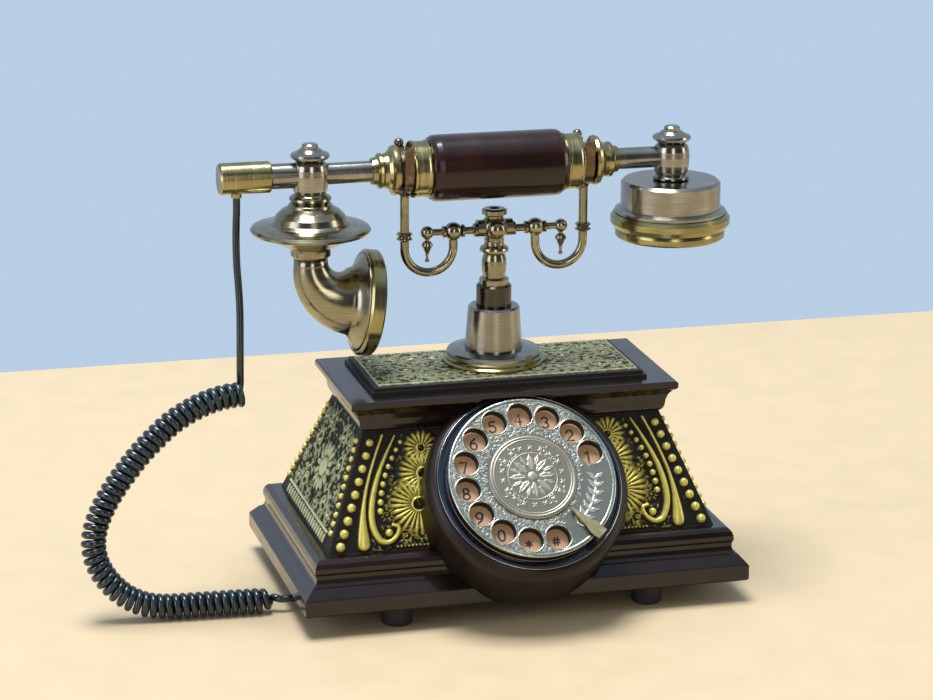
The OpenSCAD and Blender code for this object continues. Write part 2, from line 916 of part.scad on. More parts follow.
module hook_right() {
    color("#8a7f62")
        at_column()
            hook();
}

// A strap bent to a U across the handset, on a turned foot; the back prong ends in a ball
module fork() {
    translate([fork_x, 0, handset_z]) {
        rotate([0, 90, 0])
            rotate_extrude(angle = 180, start = -90)
                translate([fork_in, -fork_w / 2])
                    square([fork_t, fork_w]);
        translate([-fork_w / 2, -fork_out, 0])
            cube([fork_w, fork_t, fork_prong]);
        translate([0, -fork_in, fork_prong])
            rotate([90, 0, 0])
                cylinder(d = fork_w, h = fork_t);
        translate([-fork_w / 2, fork_in, 0])
            cube([fork_w, fork_t, fork_prong]);
        translate([0, fork_in + fork_ball, fork_prong + 1.4])
            sphere(r = fork_ball);
        translate([0, 0, -fork_out - 1.4])
            turned([[0, 0], [2.3, 0], [2.7, 0.8], [2.5, 1.8], [0, 1.8]]);
    }
}

module fork_left() {
    color("#7a5a3e")
        at_column()
            mirror([1, 0, 0])
                fork();
}

module fork_right() {
    color("#7a5a3e")
        at_column()
            fork();
}

// ---- Handset ----

module handset_tube() {
    color("#8f8a78")
        along_handset()
            translate([0, 0, -cap_x])
                difference() {
                    cylinder(d = tube_dia, h = cap_x + ear_x - 6);
                    translate([0, 0, -eps])
                        cylinder(d = tube_dia - 2.6, h = cap_x + ear_x - 6 + 2 * eps);
                }
}

module grip() {
    r = grip_dia / 2;
    h = grip_half;
    color("#35140f")
        along_handset()
            difference() {
                turned([
                    [0, -h], [r - 2.8, -h], [r - 1.1, -h + 0.9], [r - 0.2, -h + 2.6],
                    [r, -h + 5], [r, h - 5], [r - 0.2, h - 2.6], [r - 1.1, h - 0.9],
                    [r - 2.8, h], [0, h]
                ]);
                translate([0, 0, -h - eps])
                    cylinder(d = tube_dia, h = 2 * h + 2 * eps);
            }
}

module grip_ferrules() {
    r = ferrule_dia / 2;
    w = ferrule_len;
    color("#a8873b")
        both_hands()
            along_handset()
                translate([0, 0, grip_half])
                    difference() {
                        turned([
                            [0, 0], [r, 0], [r + 0.4, 0.6], [r + 0.4, 1.4], [r, 1.9],
                            [r, w - 1.9], [r + 0.4, w - 1.4], [r + 0.4, w - 0.6], [r, w], [0, w]
                        ]);
                        translate([0, 0, -eps])
                            cylinder(d = tube_dia, h = w + 2 * eps);
                    }
}

module bell_collars() {
    r = collar_dia / 2;
    g = groove_dia / 2;
    color("#a08a4a")
        both_hands()
            along_handset()
                translate([0, 0, groove_x])
                    difference() {
                        turned([
                            [0, 0], [g, 0], [g, groove_len], [r - 2, groove_len + 0.2],
                            [r - 0.4, groove_len + 1.2], [r, groove_len + 2.6],
                            [r - 0.6, groove_len + 4], [r - 2.4, groove_len + 5],
                            [r - 3.6, groove_len + 6.4], [r - 4.2, groove_len + 8.4],
                            [r - 3.6, groove_len + 9.4], [r - 3.8, groove_len + 10.6],
                            [r - 5.4, groove_len + 11.6], [r - 6, groove_len + collar_len],
                            [0, groove_len + collar_len]
                        ]);
                        translate([0, 0, -eps])
                            cylinder(d = tube_dia, h = groove_len + collar_len + 2 * eps);
                    }
}

// The grommet under the cap is where the cord comes out
module end_cap() {
    r = end_cap_dia / 2;
    color("#a8924a")
        difference() {
            union() {
                along_handset()
                    translate([0, 0, -cap_x - end_cap_len])
                        turned([
                            [0, 0], [r - 0.8, 0], [r, 0.8], [r, end_cap_len - 0.8],
                            [r - 0.8, end_cap_len], [0, end_cap_len]
                        ]);
                translate([-grommet_x, column_y, handset_z - r - 1.6])
                    cylinder(r = 2.6, h = 4);
            }
            along_handset()
                translate([0, 0, -cap_x - 12])
                    cylinder(d = tube_dia - 2.6, h = 12 + eps);
        }
}

// The barrel that joins the tube to a mouthpiece or an earpiece
module barrel() {
    turned([
        [0, -boss_foot], [7.6, -boss_foot], [8.4, -7.4], [8.9, -4], [9.1, 0], [8.9, 3],
        [8.2, 5.4], [6.6, boss_top], [0, boss_top]
    ]);
}

module mouthpiece_boss() {
    color("#7d7766")
        difference() {
            union() {
                translate([-mouth_x, column_y, handset_z])
                    barrel();
                along_handset()
                    translate([0, 0, -cap_x])
                        cylinder(d = tube_dia + 1.8, h = cap_x - mouth_x);
            }
            along_handset()
                translate([0, 0, -cap_x - eps])
                    cylinder(d = tube_dia, h = 40);
        }
}

module earpiece_boss() {
    color("#7d7766")
        translate([ear_x, column_y, handset_z])
            difference() {
                barrel();
                rotate([0, -90, 0])
                    translate([0, 0, 6])
                        cylinder(d = tube_dia, h = 20);
            }
}

module boss_finials() {
    color("#7d7766")
        for (x = [-mouth_x, ear_x])
            translate([x, column_y, handset_z + boss_top])
                turned([
                    [0, 0], [6.4, 0], [7.4, 0.6], [9.3, 1.8], [9.7, 2.8], [9.2, 3.8], [6.6, 4.8],
                    [5.2, 6], [4, 6.5], [4, 8], [3.2, 8.6], [0, 8.6]
                ]);
}

module mouthpiece_brim() {
    r = brim_dia / 2;
    color("#8f8a70")
        translate([-mouth_x, column_y, mouth_z])
            turned([
                [0, 0], [7.6, 0], [8.4, -0.8], [10.2, -1.8], [10.4, -3], [9.2, -4.4], [10.6, -5.4],
                [11.2, -6.6], [14.4, -8.4], [17, -11], [18.3, -13.8], [r - 9.6, -15.2],
                [r - 4.6, -16], [r - 1, -16.8], [r, -18], [r - 0.8, -19.4], [r - 5.6, -21],
                [17, -23.8], [12.6, -26.2], [10.2, -27.2], [9.8, -28.2], [9.8, -31],
                [8.8, -32.1], [0, -32.1]
            ]);
}

// The horn's centre line: down from the brim, round the bend and out to the rim
horn_arc = [for (i = [0 : 10]) horn_turn * i / 10];
horn_centre = [horn_bend - mouth_x, column_y, horn_z - 3.4];
horn_axis = [cos(horn_lean), 0, -sin(horn_lean)];
horn_end = horn_centre - horn_bend * [cos(horn_turn), 0, sin(horn_turn)];
horn_route = concat(
    [[-mouth_x, column_y, horn_z]],
    [for (a = horn_arc) horn_centre - horn_bend * [cos(a), 0, sin(a)]],
    [for (s = [0.35, 0.7, 1]) horn_end + s * flare_len * horn_axis]
);
horn_radii = concat(
    [8.3],
    [for (a = horn_arc) 8.5 + 8 * pow(a / horn_turn, 1.2)],
    [for (s = [0.35, 0.7, 1]) 16.5 + (rim_dia / 2 - 18.2) * s * s]
);

module mouthpiece_horn() {
    hollow_from = 4;
    last = len(horn_route) - 1;
    inner_route = concat(
        [for (i = [hollow_from : last]) horn_route[i]],
        [horn_end + (flare_len + 1) * horn_axis]
    );
    inner_radii = concat(
        [for (i = [hollow_from : last]) horn_radii[i] - horn_wall],
        [horn_radii[last] - horn_wall + 0.6]
    );
    color("#8f8a60")
        difference() {
            swept(horn_route, horn_radii, 28);
            swept(inner_route, inner_radii, 28);
        }
}

// Places a piece turned about Z along the horn's axis, at a distance past the bend
module at_horn(s) {
    translate(horn_end + s * horn_axis)
        rotate([0, 90 + horn_lean, 0])
            children();
}

module horn_rim() {
    r = rim_dia / 2;
    inner = r - 3.2;
    color("#a8873b")
        at_horn(flare_len)
            turned([
                [inner, 0], [r - 1, 0], [r, 1], [r, rim_len - 1], [r - 1, rim_len],
                [inner + 0.6, rim_len], [inner, rim_len - 0.6]
            ]);
}

module microphone_grille() {
    color("#5c5a50")
        at_horn(flare_len)
            difference() {
                cylinder(r = rim_dia / 2 - 3.2, h = 1.2);
                for (turn = [0 : 60 : 300])
                    rotate([0, 0, turn])
                        translate([6, 0, -eps])
                            cylinder(r = 1.2, h = 1.2 + 2 * eps);
                translate([0, 0, -eps])
                    cylinder(r = 1.2, h = 1.2 + 2 * eps);
            }
}

module microphone_capsule() {
    color("#3a3a3c")
        at_horn(flare_len - 5) {
            cylinder(r = 9, h = 5);
            translate([0, 0, -3])
                cylinder(r = 4, h = 3);
        }
}

module ear_cup() {
    r = cup_dia / 2;
    color("#8f8e84")
        translate([ear_x, column_y, cup_z])
            difference() {
                turned([
                    [0, 2.8], [7.6, 2.8], [9, 1.8], [9, 0.8], [8.2, 0.1], [r - 1.5, 0],
                    [r, -1.4], [r, -13.6], [r + 1.6, -14.4], [r + 2.8, -15], [r + 2.8, -16.3],
                    [0, -16.3]
                ]);
                translate([0, 0, -17])
                    cylinder(r = r - 2, h = 15);
            }
}

module ear_cap() {
    r = cap_dia / 2;
    color("#a8924a")
        translate([ear_x, column_y, cup_z])
            difference() {
                turned([
                    [0, -26.3], [18, -27.2], [r - 6, -29.1], [r - 3.4, -29.1], [r - 2.5, -28.2],
                    [r - 2.5, -25.8], [r - 3, -24.6], [r - 1.6, -23.8], [r, -21.4],
                    [r, -18.6], [r - 1.4, -16.6], [r - 4, -16.3], [0, -16.3]
                ]);
                translate([0, 0, -24.6])
                    cylinder(r = r - 8, h = 9);
                for (turn = [0 : 60 : 300])
                    rotate([0, 0, turn])
                        translate([7, 0, -30])
                            cylinder(r = 1.2, h = 8);
                translate([0, 0, -30])
                    cylinder(r = 1.2, h = 8);
            }
}

module receiver_capsule() {
    color("#3a3a3c")
        translate([ear_x, column_y, cup_z])
            turned([
                [0, -24.6], [20, -24.6], [20, -17], [16, -15], [11, -15], [11, -9],
                [0, -9]
            ]);
}

// ---- Inside the base ----

module circuit_board() {
    z = plinth_z + floor_t + board_rise;
    color("#2e5a34")
        translate([0, board_y, 0]) {
            block(board_w, board_d, z, 1.6);
            translate([26 - board_w / 2, 12, 0])
                block(20, 12, z + 1.6, 5);
            translate([22, -10, 0])
                block(14, 14, z + 1.6, 3);
            for (x = [-10, 2])
                translate([x, 18, z + 1.6])
                    cylinder(d = 8, h = 11);
        }
}

module ringer_speaker() {
    color("#3a3a3c")
        translate([-speaker_x, 0, plinth_z + floor_t])
            turned([
                [0, 0], [speaker_dia / 2, 0], [speaker_dia / 2, 2], [speaker_dia / 2 - 3, 3],
                [8, 8], [8, 12], [0, 12]
            ]);
}

// The space that the line socket takes out of the back of the plinth
module line_recess() {
    translate([line_x - line_size[0] / 2, plinth_d / 2 - line_size[1], plinth_z - eps])
        cube([line_size[0], line_size[1] + eps, line_size[2] + eps]);
}

module line_socket() {
    color("#15181c")
        translate([line_x, plinth_d / 2, plinth_z])
            difference() {
                translate([-line_size[0] / 2 + 0.1, -line_size[1] + 0.1, floor_t + 0.1])
                    cube([line_size[0] - 0.2, line_size[1] - 0.5,
                        line_size[2] - floor_t - 0.2]);
                translate([-line_hole[0] / 2, -line_hole[1], floor_t + 1.2])
                    cube([line_hole[0], line_hole[1] + eps, line_hole[2]]);
            }
}

// The slot and the pocket behind it for the ringer's three-way slide switch
module knob_recess() {
    translate([knob_x - knob_slot[0] / 2, plinth_d / 2 - wall - eps, plinth_z + 3])
        cube([knob_slot[0], wall + 2 * eps, knob_slot[1]]);
}

module ringer_knob() {
    color("#15181c")
        translate([knob_x - knob_slot[0] / 2 + 0.3, plinth_d / 2 - wall - 2, plinth_z + 3.3]) {
            cube([6, wall + 3.4, knob_slot[1] - 0.6]);
            translate([-3, 0, -0.2])
                cube([12, 1.7, knob_slot[1] - 0.2]);
        }
}

module handset_jack() {
    s = plug_size;
    color("#15181c")
        difference() {
            translate([jack_x, jack_y - jack_size[1] / 2, plinth_z - jack_size[2]])
                cube(jack_size);
            translate([jack_x - eps, jack_y - s[1] / 2 - 0.2, jack_z - s[2] / 2 - 0.2])
                cube([s[0] + eps, s[1] + 0.4, s[2] + 0.4]);
        }
}

// ---- Curly cord ----

module cord_plug() {
    color("#1a2226")
        translate([jack_x - plug_reach, jack_y - plug_size[1] / 2, jack_z - plug_size[2] / 2])
            cube(plug_size);
}

module cord_tail() {
    color("#12262c")
        swept(tail_route, [for (p = tail_route) cord_dia / 2], 8);
}

module cord_curl() {
    color("#12262c")
        swept(curl_route, [for (p = curl_route) curl_dia / 2], 12);
}

module cord_lead() {
    color("#12262c")
        swept(lead_route, [for (p = lead_route) cord_dia / 2], 8);
}

plinth();
bottom_plate();
feet();
bottom_screws();
body_shell();
cornice();
top_plate();
dial_housing();
dial_bezel();
number_plate();
finger_stop();
dial_frame();
spindle_bush();
mainspring();
finger_wheel();
medallion();
dial_spindle();
drive_gear();
pulse_shaft();
governor();
column_flange();
column_disc();
column_sleeve();
hook_switch();
hook_spring();
hook_plunger();
cradle_stem();
cradle_boss();
cradle_arms();
hook_left();
hook_right();
fork_left();
fork_right();
drop_finials();
handset_tube();
grip();
grip_ferrules();
bell_collars();
end_cap();
mouthpiece_boss();
earpiece_boss();
boss_finials();
mouthpiece_brim();
mouthpiece_horn();
horn_rim();
microphone_grille();
microphone_capsule();
ear_cup();
ear_cap();
receiver_capsule();
circuit_board();
ringer_speaker();
line_socket();
ringer_knob();
handset_jack();
cord_plug();
cord_tail();
cord_curl();
cord_lead();
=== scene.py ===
import json
import math

import bpy
import numpy as np
from mathutils import Matrix, Vector


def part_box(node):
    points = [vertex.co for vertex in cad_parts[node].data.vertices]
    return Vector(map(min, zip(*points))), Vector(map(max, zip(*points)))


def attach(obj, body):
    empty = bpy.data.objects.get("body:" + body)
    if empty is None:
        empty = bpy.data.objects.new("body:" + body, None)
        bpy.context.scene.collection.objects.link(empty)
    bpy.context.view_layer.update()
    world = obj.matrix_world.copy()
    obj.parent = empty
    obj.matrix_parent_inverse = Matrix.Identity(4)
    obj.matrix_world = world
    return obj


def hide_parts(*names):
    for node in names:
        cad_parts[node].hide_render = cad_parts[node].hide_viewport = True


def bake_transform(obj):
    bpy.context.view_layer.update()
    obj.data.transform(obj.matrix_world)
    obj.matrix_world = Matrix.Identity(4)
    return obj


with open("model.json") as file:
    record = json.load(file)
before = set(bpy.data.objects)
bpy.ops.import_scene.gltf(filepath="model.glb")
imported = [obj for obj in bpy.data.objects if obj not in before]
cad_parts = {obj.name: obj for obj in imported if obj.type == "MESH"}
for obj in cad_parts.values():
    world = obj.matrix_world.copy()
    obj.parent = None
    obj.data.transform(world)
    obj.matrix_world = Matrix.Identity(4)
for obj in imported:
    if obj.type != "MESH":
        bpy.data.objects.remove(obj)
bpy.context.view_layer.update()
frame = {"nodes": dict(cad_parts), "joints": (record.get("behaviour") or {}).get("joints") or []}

# An ornate desk telephone. Shapes are worked out in millimetres and turned into metres as
# each mesh is made. +X is to the user's right, -Y towards the user, +Z up.
MM = 0.001
PER_METRE = 1000.0
TAU = 2 * math.pi


# ---- Making meshes ----

def piece(name, points, faces, finish, body, worn=None, flat=False):
    """A mesh piece from millimetre points, with its finish, riding on its body."""
    mesh = bpy.data.meshes.new(name)
    points = np.asarray(points, float).reshape(-1, 3) * MM
    faces = np.asarray(faces, np.int32)
    mesh.vertices.add(len(points))
    mesh.vertices.foreach_set("co", points.astype(np.float32).ravel())
    corners = faces.shape[1]
    mesh.loops.add(faces.size)
    mesh.loops.foreach_set("vertex_index", faces.ravel())
    mesh.polygons.add(len(faces))
    mesh.polygons.foreach_set("loop_start", np.arange(0, faces.size, corners, dtype=np.int32))
    mesh.polygons.foreach_set("loop_total", np.full(len(faces), corners, np.int32))
    mesh.polygons.foreach_set("use_smooth", np.full(len(faces), not flat))
    mesh.update(calc_edges=True)
    mesh.validate()
    if worn is not None:
        layer = mesh.attributes.new("raised", "FLOAT", "POINT")
        layer.data.foreach_set("value", np.asarray(worn, np.float32))
    obj = bpy.data.objects.new(name, mesh)
    bpy.context.scene.collection.objects.link(obj)
    mesh.materials.append(finish)
    if body:
        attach(obj, body)
    return obj


def grid_faces(rows, columns, wrap_rows=False, wrap_columns=False):
    """Quads over points laid out in rows."""
    r = np.arange(rows if wrap_rows else rows - 1)
    c = np.arange(columns if wrap_columns else columns - 1)
    R, C = np.meshgrid(r, c, indexing="ij")
    R2, C2 = (R + 1) % rows, (C + 1) % columns
    return np.stack(
        [R * columns + C, R * columns + C2, R2 * columns + C2, R2 * columns + C], -1
    ).reshape(-1, 4)


def lathe(profile, steps=96):
    """A closed [radius, height] outline, clear of the axis, turned about Z."""
    turn = np.linspace(0, TAU, steps, endpoint=False)
    p = np.asarray(profile, float)
    ring = np.stack([
        np.outer(p[:, 0], np.cos(turn)), np.outer(p[:, 0], np.sin(turn)),
        np.repeat(p[:, 1:2], steps, 1),
    ], -1)
    return ring.reshape(-1, 3), grid_faces(len(p), steps, wrap_rows=True, wrap_columns=True)


def headings(route):
    """Unit directions along a route, and two steady crosswise vectors at each point."""
    t = np.gradient(route, axis=0)
    t /= np.linalg.norm(t, axis=1)[:, None]
    first = np.cross(t[0], [0, 1, 0])
    if np.linalg.norm(first) < 0.01:
        first = np.array([1.0, 0, 0])
    u = [first / np.linalg.norm(first)]
    for k in range(1, len(t)):
        side = u[-1] - t[k] * (u[-1] @ t[k])
        u.append(side / np.linalg.norm(side))
    u = np.array(u)
    return t, u, np.cross(t, u)


def tube(route, radii, sides=12):
    """A round skin along a route, open at its ends."""
    route = np.asarray(route, float)
    radii = np.broadcast_to(np.asarray(radii, float), (len(route),))
    t, u, v = headings(route)
    a = np.linspace(0, TAU, sides, endpoint=False)
    points = (
        route[:, None] + radii[:, None, None]
        * (np.cos(a)[None, :, None] * u[:, None] + np.sin(a)[None, :, None] * v[:, None])
    )
    return points.reshape(-1, 3), grid_faces(len(route), sides, wrap_columns=True)


def between(q, k, share):
    """The point this share of the way from q[k] to the next, on a curve through all of q."""
    return 0.5 * (
        2 * q[k] + (q[k + 1] - q[k - 1]) * share
        + (2 * q[k - 1] - 5 * q[k] + 4 * q[k + 1] - q[k + 2]) * share * share
        + (3 * q[k] - q[k - 1] - 3 * q[k + 1] + q[k + 2]) * share ** 3
    )


def smooth_route(points, spacing):
    """A curve through the points, resampled at an even spacing in millimetres."""
    p = np.asarray(points, float)
    q = np.vstack([2 * p[0] - p[1], p, 2 * p[-1] - p[-2]])
    shares = np.linspace(0, 1, 24, endpoint=False)
    fine = np.array([between(q, k, s) for k in range(1, len(q) - 2) for s in shares] + [p[-1]])
    run = np.concatenate([[0], np.cumsum(np.linalg.norm(np.diff(fine, axis=0), axis=1))])
    n = max(2, int(round(run[-1] / spacing)) + 1)
    at = np.linspace(0, run[-1], n)
    return np.stack([np.interp(at, run, fine[:, k]) for k in range(3)], 1)


def route_length(route):
    return float(np.linalg.norm(np.diff(np.asarray(route), axis=0), axis=1).sum())


# ---- Finishes ----

def srgb(code):
    """A hex colour as linear RGBA."""
    parts = [int(code[k:k + 2], 16) / 255 for k in (1, 3, 5)]
    return [c / 12.92 if c <= 0.04045 else ((c + 0.055) / 1.055) ** 2.4 for c in parts] + [1.0]


def add(tree, kind, values=None, links=None, stops=(), **settings):
    """Adds one node with its settings, its sockets' values and what feeds its sockets: another
    socket, or a node, for its first output. A colour bar also takes its stops, each a place
    and a hex colour."""
    made = tree.nodes.new("ShaderNode" + kind)
    for key, value in settings.items():
        setattr(made, key, value)
    for key, value in (values or {}).items():
        made.inputs[key].default_value = value
    for key, source in (links or {}).items():
        if isinstance(source, bpy.types.Node):
            source = source.outputs[0]
        tree.links.new(source, made.inputs[key])
    for k, (place, code) in enumerate(stops):
        bar = made.color_ramp.elements
        stop = bar[k] if k < len(bar) else bar.new(place)
        stop.position, stop.color = place, srgb(code)
    return made


def blank(name):
    """A new finish with an empty node tree."""
    material = bpy.data.materials.new(name)
    material.use_nodes = True
    material.node_tree.nodes.clear()
    return material, material.node_tree


def patterned(tree, *sizes):
    """Where a point of the piece lies in a pattern whose marks are this many mm long along X, Y
    and Z; one size is the same along all three."""
    sizes = sizes * 3 if len(sizes) == 1 else sizes
    where = add(tree, "TexCoord")
    return add(tree, "Mapping", {"Scale": [PER_METRE / size for size in sizes]},
               {"Vector": where.outputs["Object"]})


# Sizes in mm: clouds of patina on metal, how far the painted shade reaches into a groove, how
# deep a brush scratch is, the slow drift of colour in paint and how deep its pits are
PATINA_CLOUD = 14.3
GROOVE_SHADE_REACH = 3.5
SCRATCH_DEPTH = 0.2
COLOUR_DRIFT = 22.2
PIT_DEPTH = 0.3


def turned_metal(name, groove_shade, middle, bright, roughness, brush, streak=0.012, patina_and_shade=0.55):
    """Plated metal, brushed and rubbed back, then darkened where ambient occlusion finds grooves
    and
    joins between parts: painted shade, standing also for patina in the grooves. brush is the size
    of a brush mark in mm along X, Y and Z, drawn coarser than the real 0.1 mm scratch so that it
    shows."""
    material, tree = blank(name)
    lines = add(tree, "TexNoise", {"Scale": 1.0, "Detail": 3.0, "Roughness": 0.6},
                {"Vector": patterned(tree, *brush)})
    cloud = add(tree, "TexNoise", {"Scale": 1.0, "Detail": 3.0, "Roughness": 0.55},
                {"Vector": patterned(tree, PATINA_CLOUD)})
    # Painted shade: ambient occlusion darkens the colour in grooves, hollows and where parts meet
    occlusion = add(tree, "AmbientOcclusion", {"Distance": GROOVE_SHADE_REACH * MM}, samples=8)
    tone = add(tree, "Math", {1: 0.45}, {0: cloud}, operation="MULTIPLY")
    tone = add(tree, "Math", {1: 0.55}, {0: lines, 2: tone}, operation="MULTIPLY_ADD")
    colour = add(tree, "ValToRGB", links={"Fac": tone},
                 stops=[(0.3, middle), (0.68, bright), (0.5, middle)]).outputs["Color"]
    unshaded = add(tree, "MapRange", {"From Min": 0.25, "From Max": 0.9,
                   "To Min": 0.0, "To Max": 1.0}, {"Value": occlusion.outputs["AO"]})
    shaded_colour = add(tree, "Mix", {"A": srgb(groove_shade)}, {"Factor": unshaded},
                data_type="RGBA")
    tree.links.new(colour, shaded_colour.inputs["B"])
    # The colour that shows: the clean tone mixed with the painted shade of the grooves
    worn = add(tree, "Mix", {"Factor": patina_and_shade}, data_type="RGBA")
    tree.links.new(colour, worn.inputs["A"])
    tree.links.new(shaded_colour.outputs["Result"], worn.inputs["B"])
    rough = add(tree, "MapRange", {"From Min": 0.3, "From Max": 0.7,
                "To Min": roughness - 0.04, "To Max": roughness + 0.06},
                {"Value": lines})
    bump = add(tree, "Bump", {"Strength": streak, "Distance": SCRATCH_DEPTH * MM},
               {"Height": lines})
    metal = add(tree, "BsdfPrincipled", {"Metallic": 1.0}, {
        "Base Color": worn.outputs["Result"], "Roughness": rough,
        "Normal": bump,
    })
    add(tree, "OutputMaterial", links={"Surface": metal})
    return material


def paint(name, base, shade, roughness, coat=0.0, coat_roughness=0.1, grain=3.3, relief=0.03,
          specular=0.5):
    """Moulded or sprayed surface: colour drifts a little, and a fine bump breaks the shine.
    grain is the size of the bump's pits or orange peel in mm."""
    material, tree = blank(name)
    drift = add(tree, "TexNoise", {"Scale": 1.0, "Detail": 4.0},
                {"Vector": patterned(tree, COLOUR_DRIFT)})
    peel = add(tree, "TexNoise", {"Scale": 1.0, "Detail": 2.0},
               {"Vector": patterned(tree, grain)})
    colour = add(tree, "ValToRGB", links={"Fac": drift},
                 stops=[(0.35, shade), (0.65, base)]).outputs["Color"]
    rough = add(tree, "MapRange", {"From Min": 0.3, "From Max": 0.7,
                "To Min": roughness - 0.05, "To Max": roughness + 0.07},
                {"Value": drift})
    bump = add(tree, "Bump", {"Strength": relief, "Distance": PIT_DEPTH * MM},
               {"Height": peel})
    skin_shader = add(tree, "BsdfPrincipled", {
        "Coat Weight": coat, "Coat Roughness": coat_roughness, "Specular IOR Level": specular,
    }, {"Base Color": colour, "Roughness": rough, "Normal": bump})
    add(tree, "OutputMaterial", links={"Surface": skin_shader})
    return material


# Lathe marks: fine along the axis that the piece turns about, long round it, in mm
ABOUT_X = (0.385, 16.7, 16.7)
ABOUT_Z = (16.7, 16.7, 0.385)

# Resin casting sprayed with dark mahogany lacquer: a deep red-brown black under a satin gloss
mahogany_lacquer = paint("mahogany_lacquer", "#1c0e0a", "#130906", 0.3, 0.75, 0.09, 3.8, 0.02,
                         specular=0.15)
# The same lacquer sprayed thin over the dial's drum: duller and browner
drum_lacquer = paint("drum_lacquer", "#1a0f0a", "#120a06", 0.42, 0.12, 0.3, 2.6, 0.05,
                     specular=0.25)
# Hardboard painted black: a dry skin with the board's pits under it
painted_hardboard = paint("painted_hardboard", "#1d1c1b", "#151413", 0.75, grain=1.1, relief=0.2)
# Moulded rubber: dull soft black with a fine tooth
foot_rubber = paint("moulded_rubber", "#1a1a1a", "#121212", 0.62, grain=0.7, relief=0.12)
# Moulded ABS from a polished tool: blue-black with a hard, clear gloss
bezel_plastic = paint("polished_abs", "#0e2032", "#0a1724", 0.16, 0.6, 0.06, 5.0, 0.015)
# Moulded ABS from a spark-eroded tool: black and evenly dull
socket_plastic = paint("textured_abs", "#17181b", "#101114", 0.38, grain=1.1, relief=0.06)
# Moulded polypropylene: a slightly waxy dark grey
capsule_plastic = paint("moulded_polypropylene", "#303033", "#242427", 0.5, grain=1.1,
                        relief=0.06)
# Glass-epoxy laminate under solder mask: green with a thin gloss over its weave
board_laminate = paint("board_laminate", "#2e5a34", "#24492a", 0.4, 0.3, 0.2, 1.4, 0.04)
# Extruded PVC: blue-black with a wet line of light on each turn
cord_sheath = paint("extruded_pvc", "#0b222b", "#07171e", 0.25, 0.35, 0.12, 1.25, 0.02)
# Coated card: warm tan, even and nearly matt
number_card = paint("coated_card", "#e0b58a", "#d4a87e", 0.5, grain=1.4, relief=0.03)
# Screen-printed ink: a soft brown-black that sits slightly uneven on the card
digit_ink = paint("printed_ink", "#4b3a35", "#3c2e2b", 0.55, grain=1.1, relief=0.02)
# Turned hardwood, stained and lacquered: very dark red with a long even gloss
grip_wood = paint("lacquered_hardwood", "#280d08", "#190906", 0.26, 0.4, 0.1, 3.3, 0.02,
                  specular=0.25)
# Cold-cast resin painted black before the gold goes on: a dry black ground. The same black also
# serves as painted shadow in the wells under the finger holes and on the card's rim
black_resin_and_shadow = paint("black_resin_and_painted_shadow", "#0b0a08", "#070605", 0.55, grain=1.7, relief=0.1)

# Pressed steel with bright zinc plate: plain light grey, slightly cloudy
zinc_plate = turned_metal("zinc_plated_steel", "#4a4a48", "#8e8f8b", "#a5a6a1", 0.36, (1.43,) * 3)
# Cold-headed steel with nickel plate: small hard glints
screw_steel = turned_metal("nickel_plated_steel", "#3c3c3a", "#9a9b97", "#b4b5b0", 0.3,
                           (1.1,) * 3)
# Drawn and blued spring wire: a cold blue-grey
spring_steel = turned_metal("spring_steel", "#3a3e44", "#7b818a", "#9aa0a8", 0.3, (1.1,) * 3)
# Hobbed brass: warm yellow, left bright
gear_brass = turned_metal("gear_brass", "#5c451c", "#a9873f", "#c4a257", 0.32, (1.1,) * 3)
# Brass turned, gilded and aged: olive gold, with a brown painted shade and patina in its grooves
gilt_x = turned_metal("gilt_brass_turned_x", "#2a2312", "#978e64", "#beb58c", 0.2, ABOUT_X)
gilt_z = turned_metal("gilt_brass_turned_z", "#2a2312", "#968c5e", "#bcb284", 0.2, ABOUT_Z)
# The same gilding on a flat cast piece: paler, with no lathe lines
gilt_plain = turned_metal("gilt_brass_plain", "#2a2312", "#c2b683", "#ddd3a4", 0.3, (3.3,) * 3)
# Pewter plate on a turned zinc casting: warm grey that streaks round the turning
pewter_x = turned_metal("pewter_turned_x", "#1f1b14", "#908d85", "#b4b1a6", 0.19, ABOUT_X)
pewter_z = turned_metal("pewter_turned_z", "#1f1b14", "#929086", "#b6b3a7", 0.19, ABOUT_Z)
# Antique brass plate, turned: between the gilt and the pewter, greenish in its shade
antique_z = turned_metal("antique_brass_turned_z", "#221d12", "#8f8a74", "#b2ac90", 0.2,
                         ABOUT_Z)
# Antique brass plate on small castings, buffed by hand: no direction to its marks
cradle_brass = turned_metal("cradle_brass", "#1e1b12", "#8c866f", "#b0a98c", 0.21, (3.3,) * 3)
# Steel blackened in oil and turned: a near-black with thin bright rings
dark_steel = turned_metal("blackened_steel", "#161412", "#4b4844", "#6a655e", 0.22, ABOUT_Z)
# Copper plate worn dull: brown with a pink edge
copper_strap = turned_metal("worn_copper_plate", "#1e150f", "#6b5848", "#8f7a64", 0.28,
                            (2.0,) * 3)
# Pressed steel, silvered: cool pale grey, softly clouded
silver_wheel = turned_metal("silvered_steel", "#4c5049", "#aab0a2", "#c9ccbc", 0.24, (2.0,) * 3)
# Cast pewter, sand-blasted: warmer and duller than the wheel round it
medallion_metal = turned_metal("cast_pewter", "#4b473c", "#827f72", "#918e80", 0.38, (2.0,) * 3)


# ---- Ornament ----

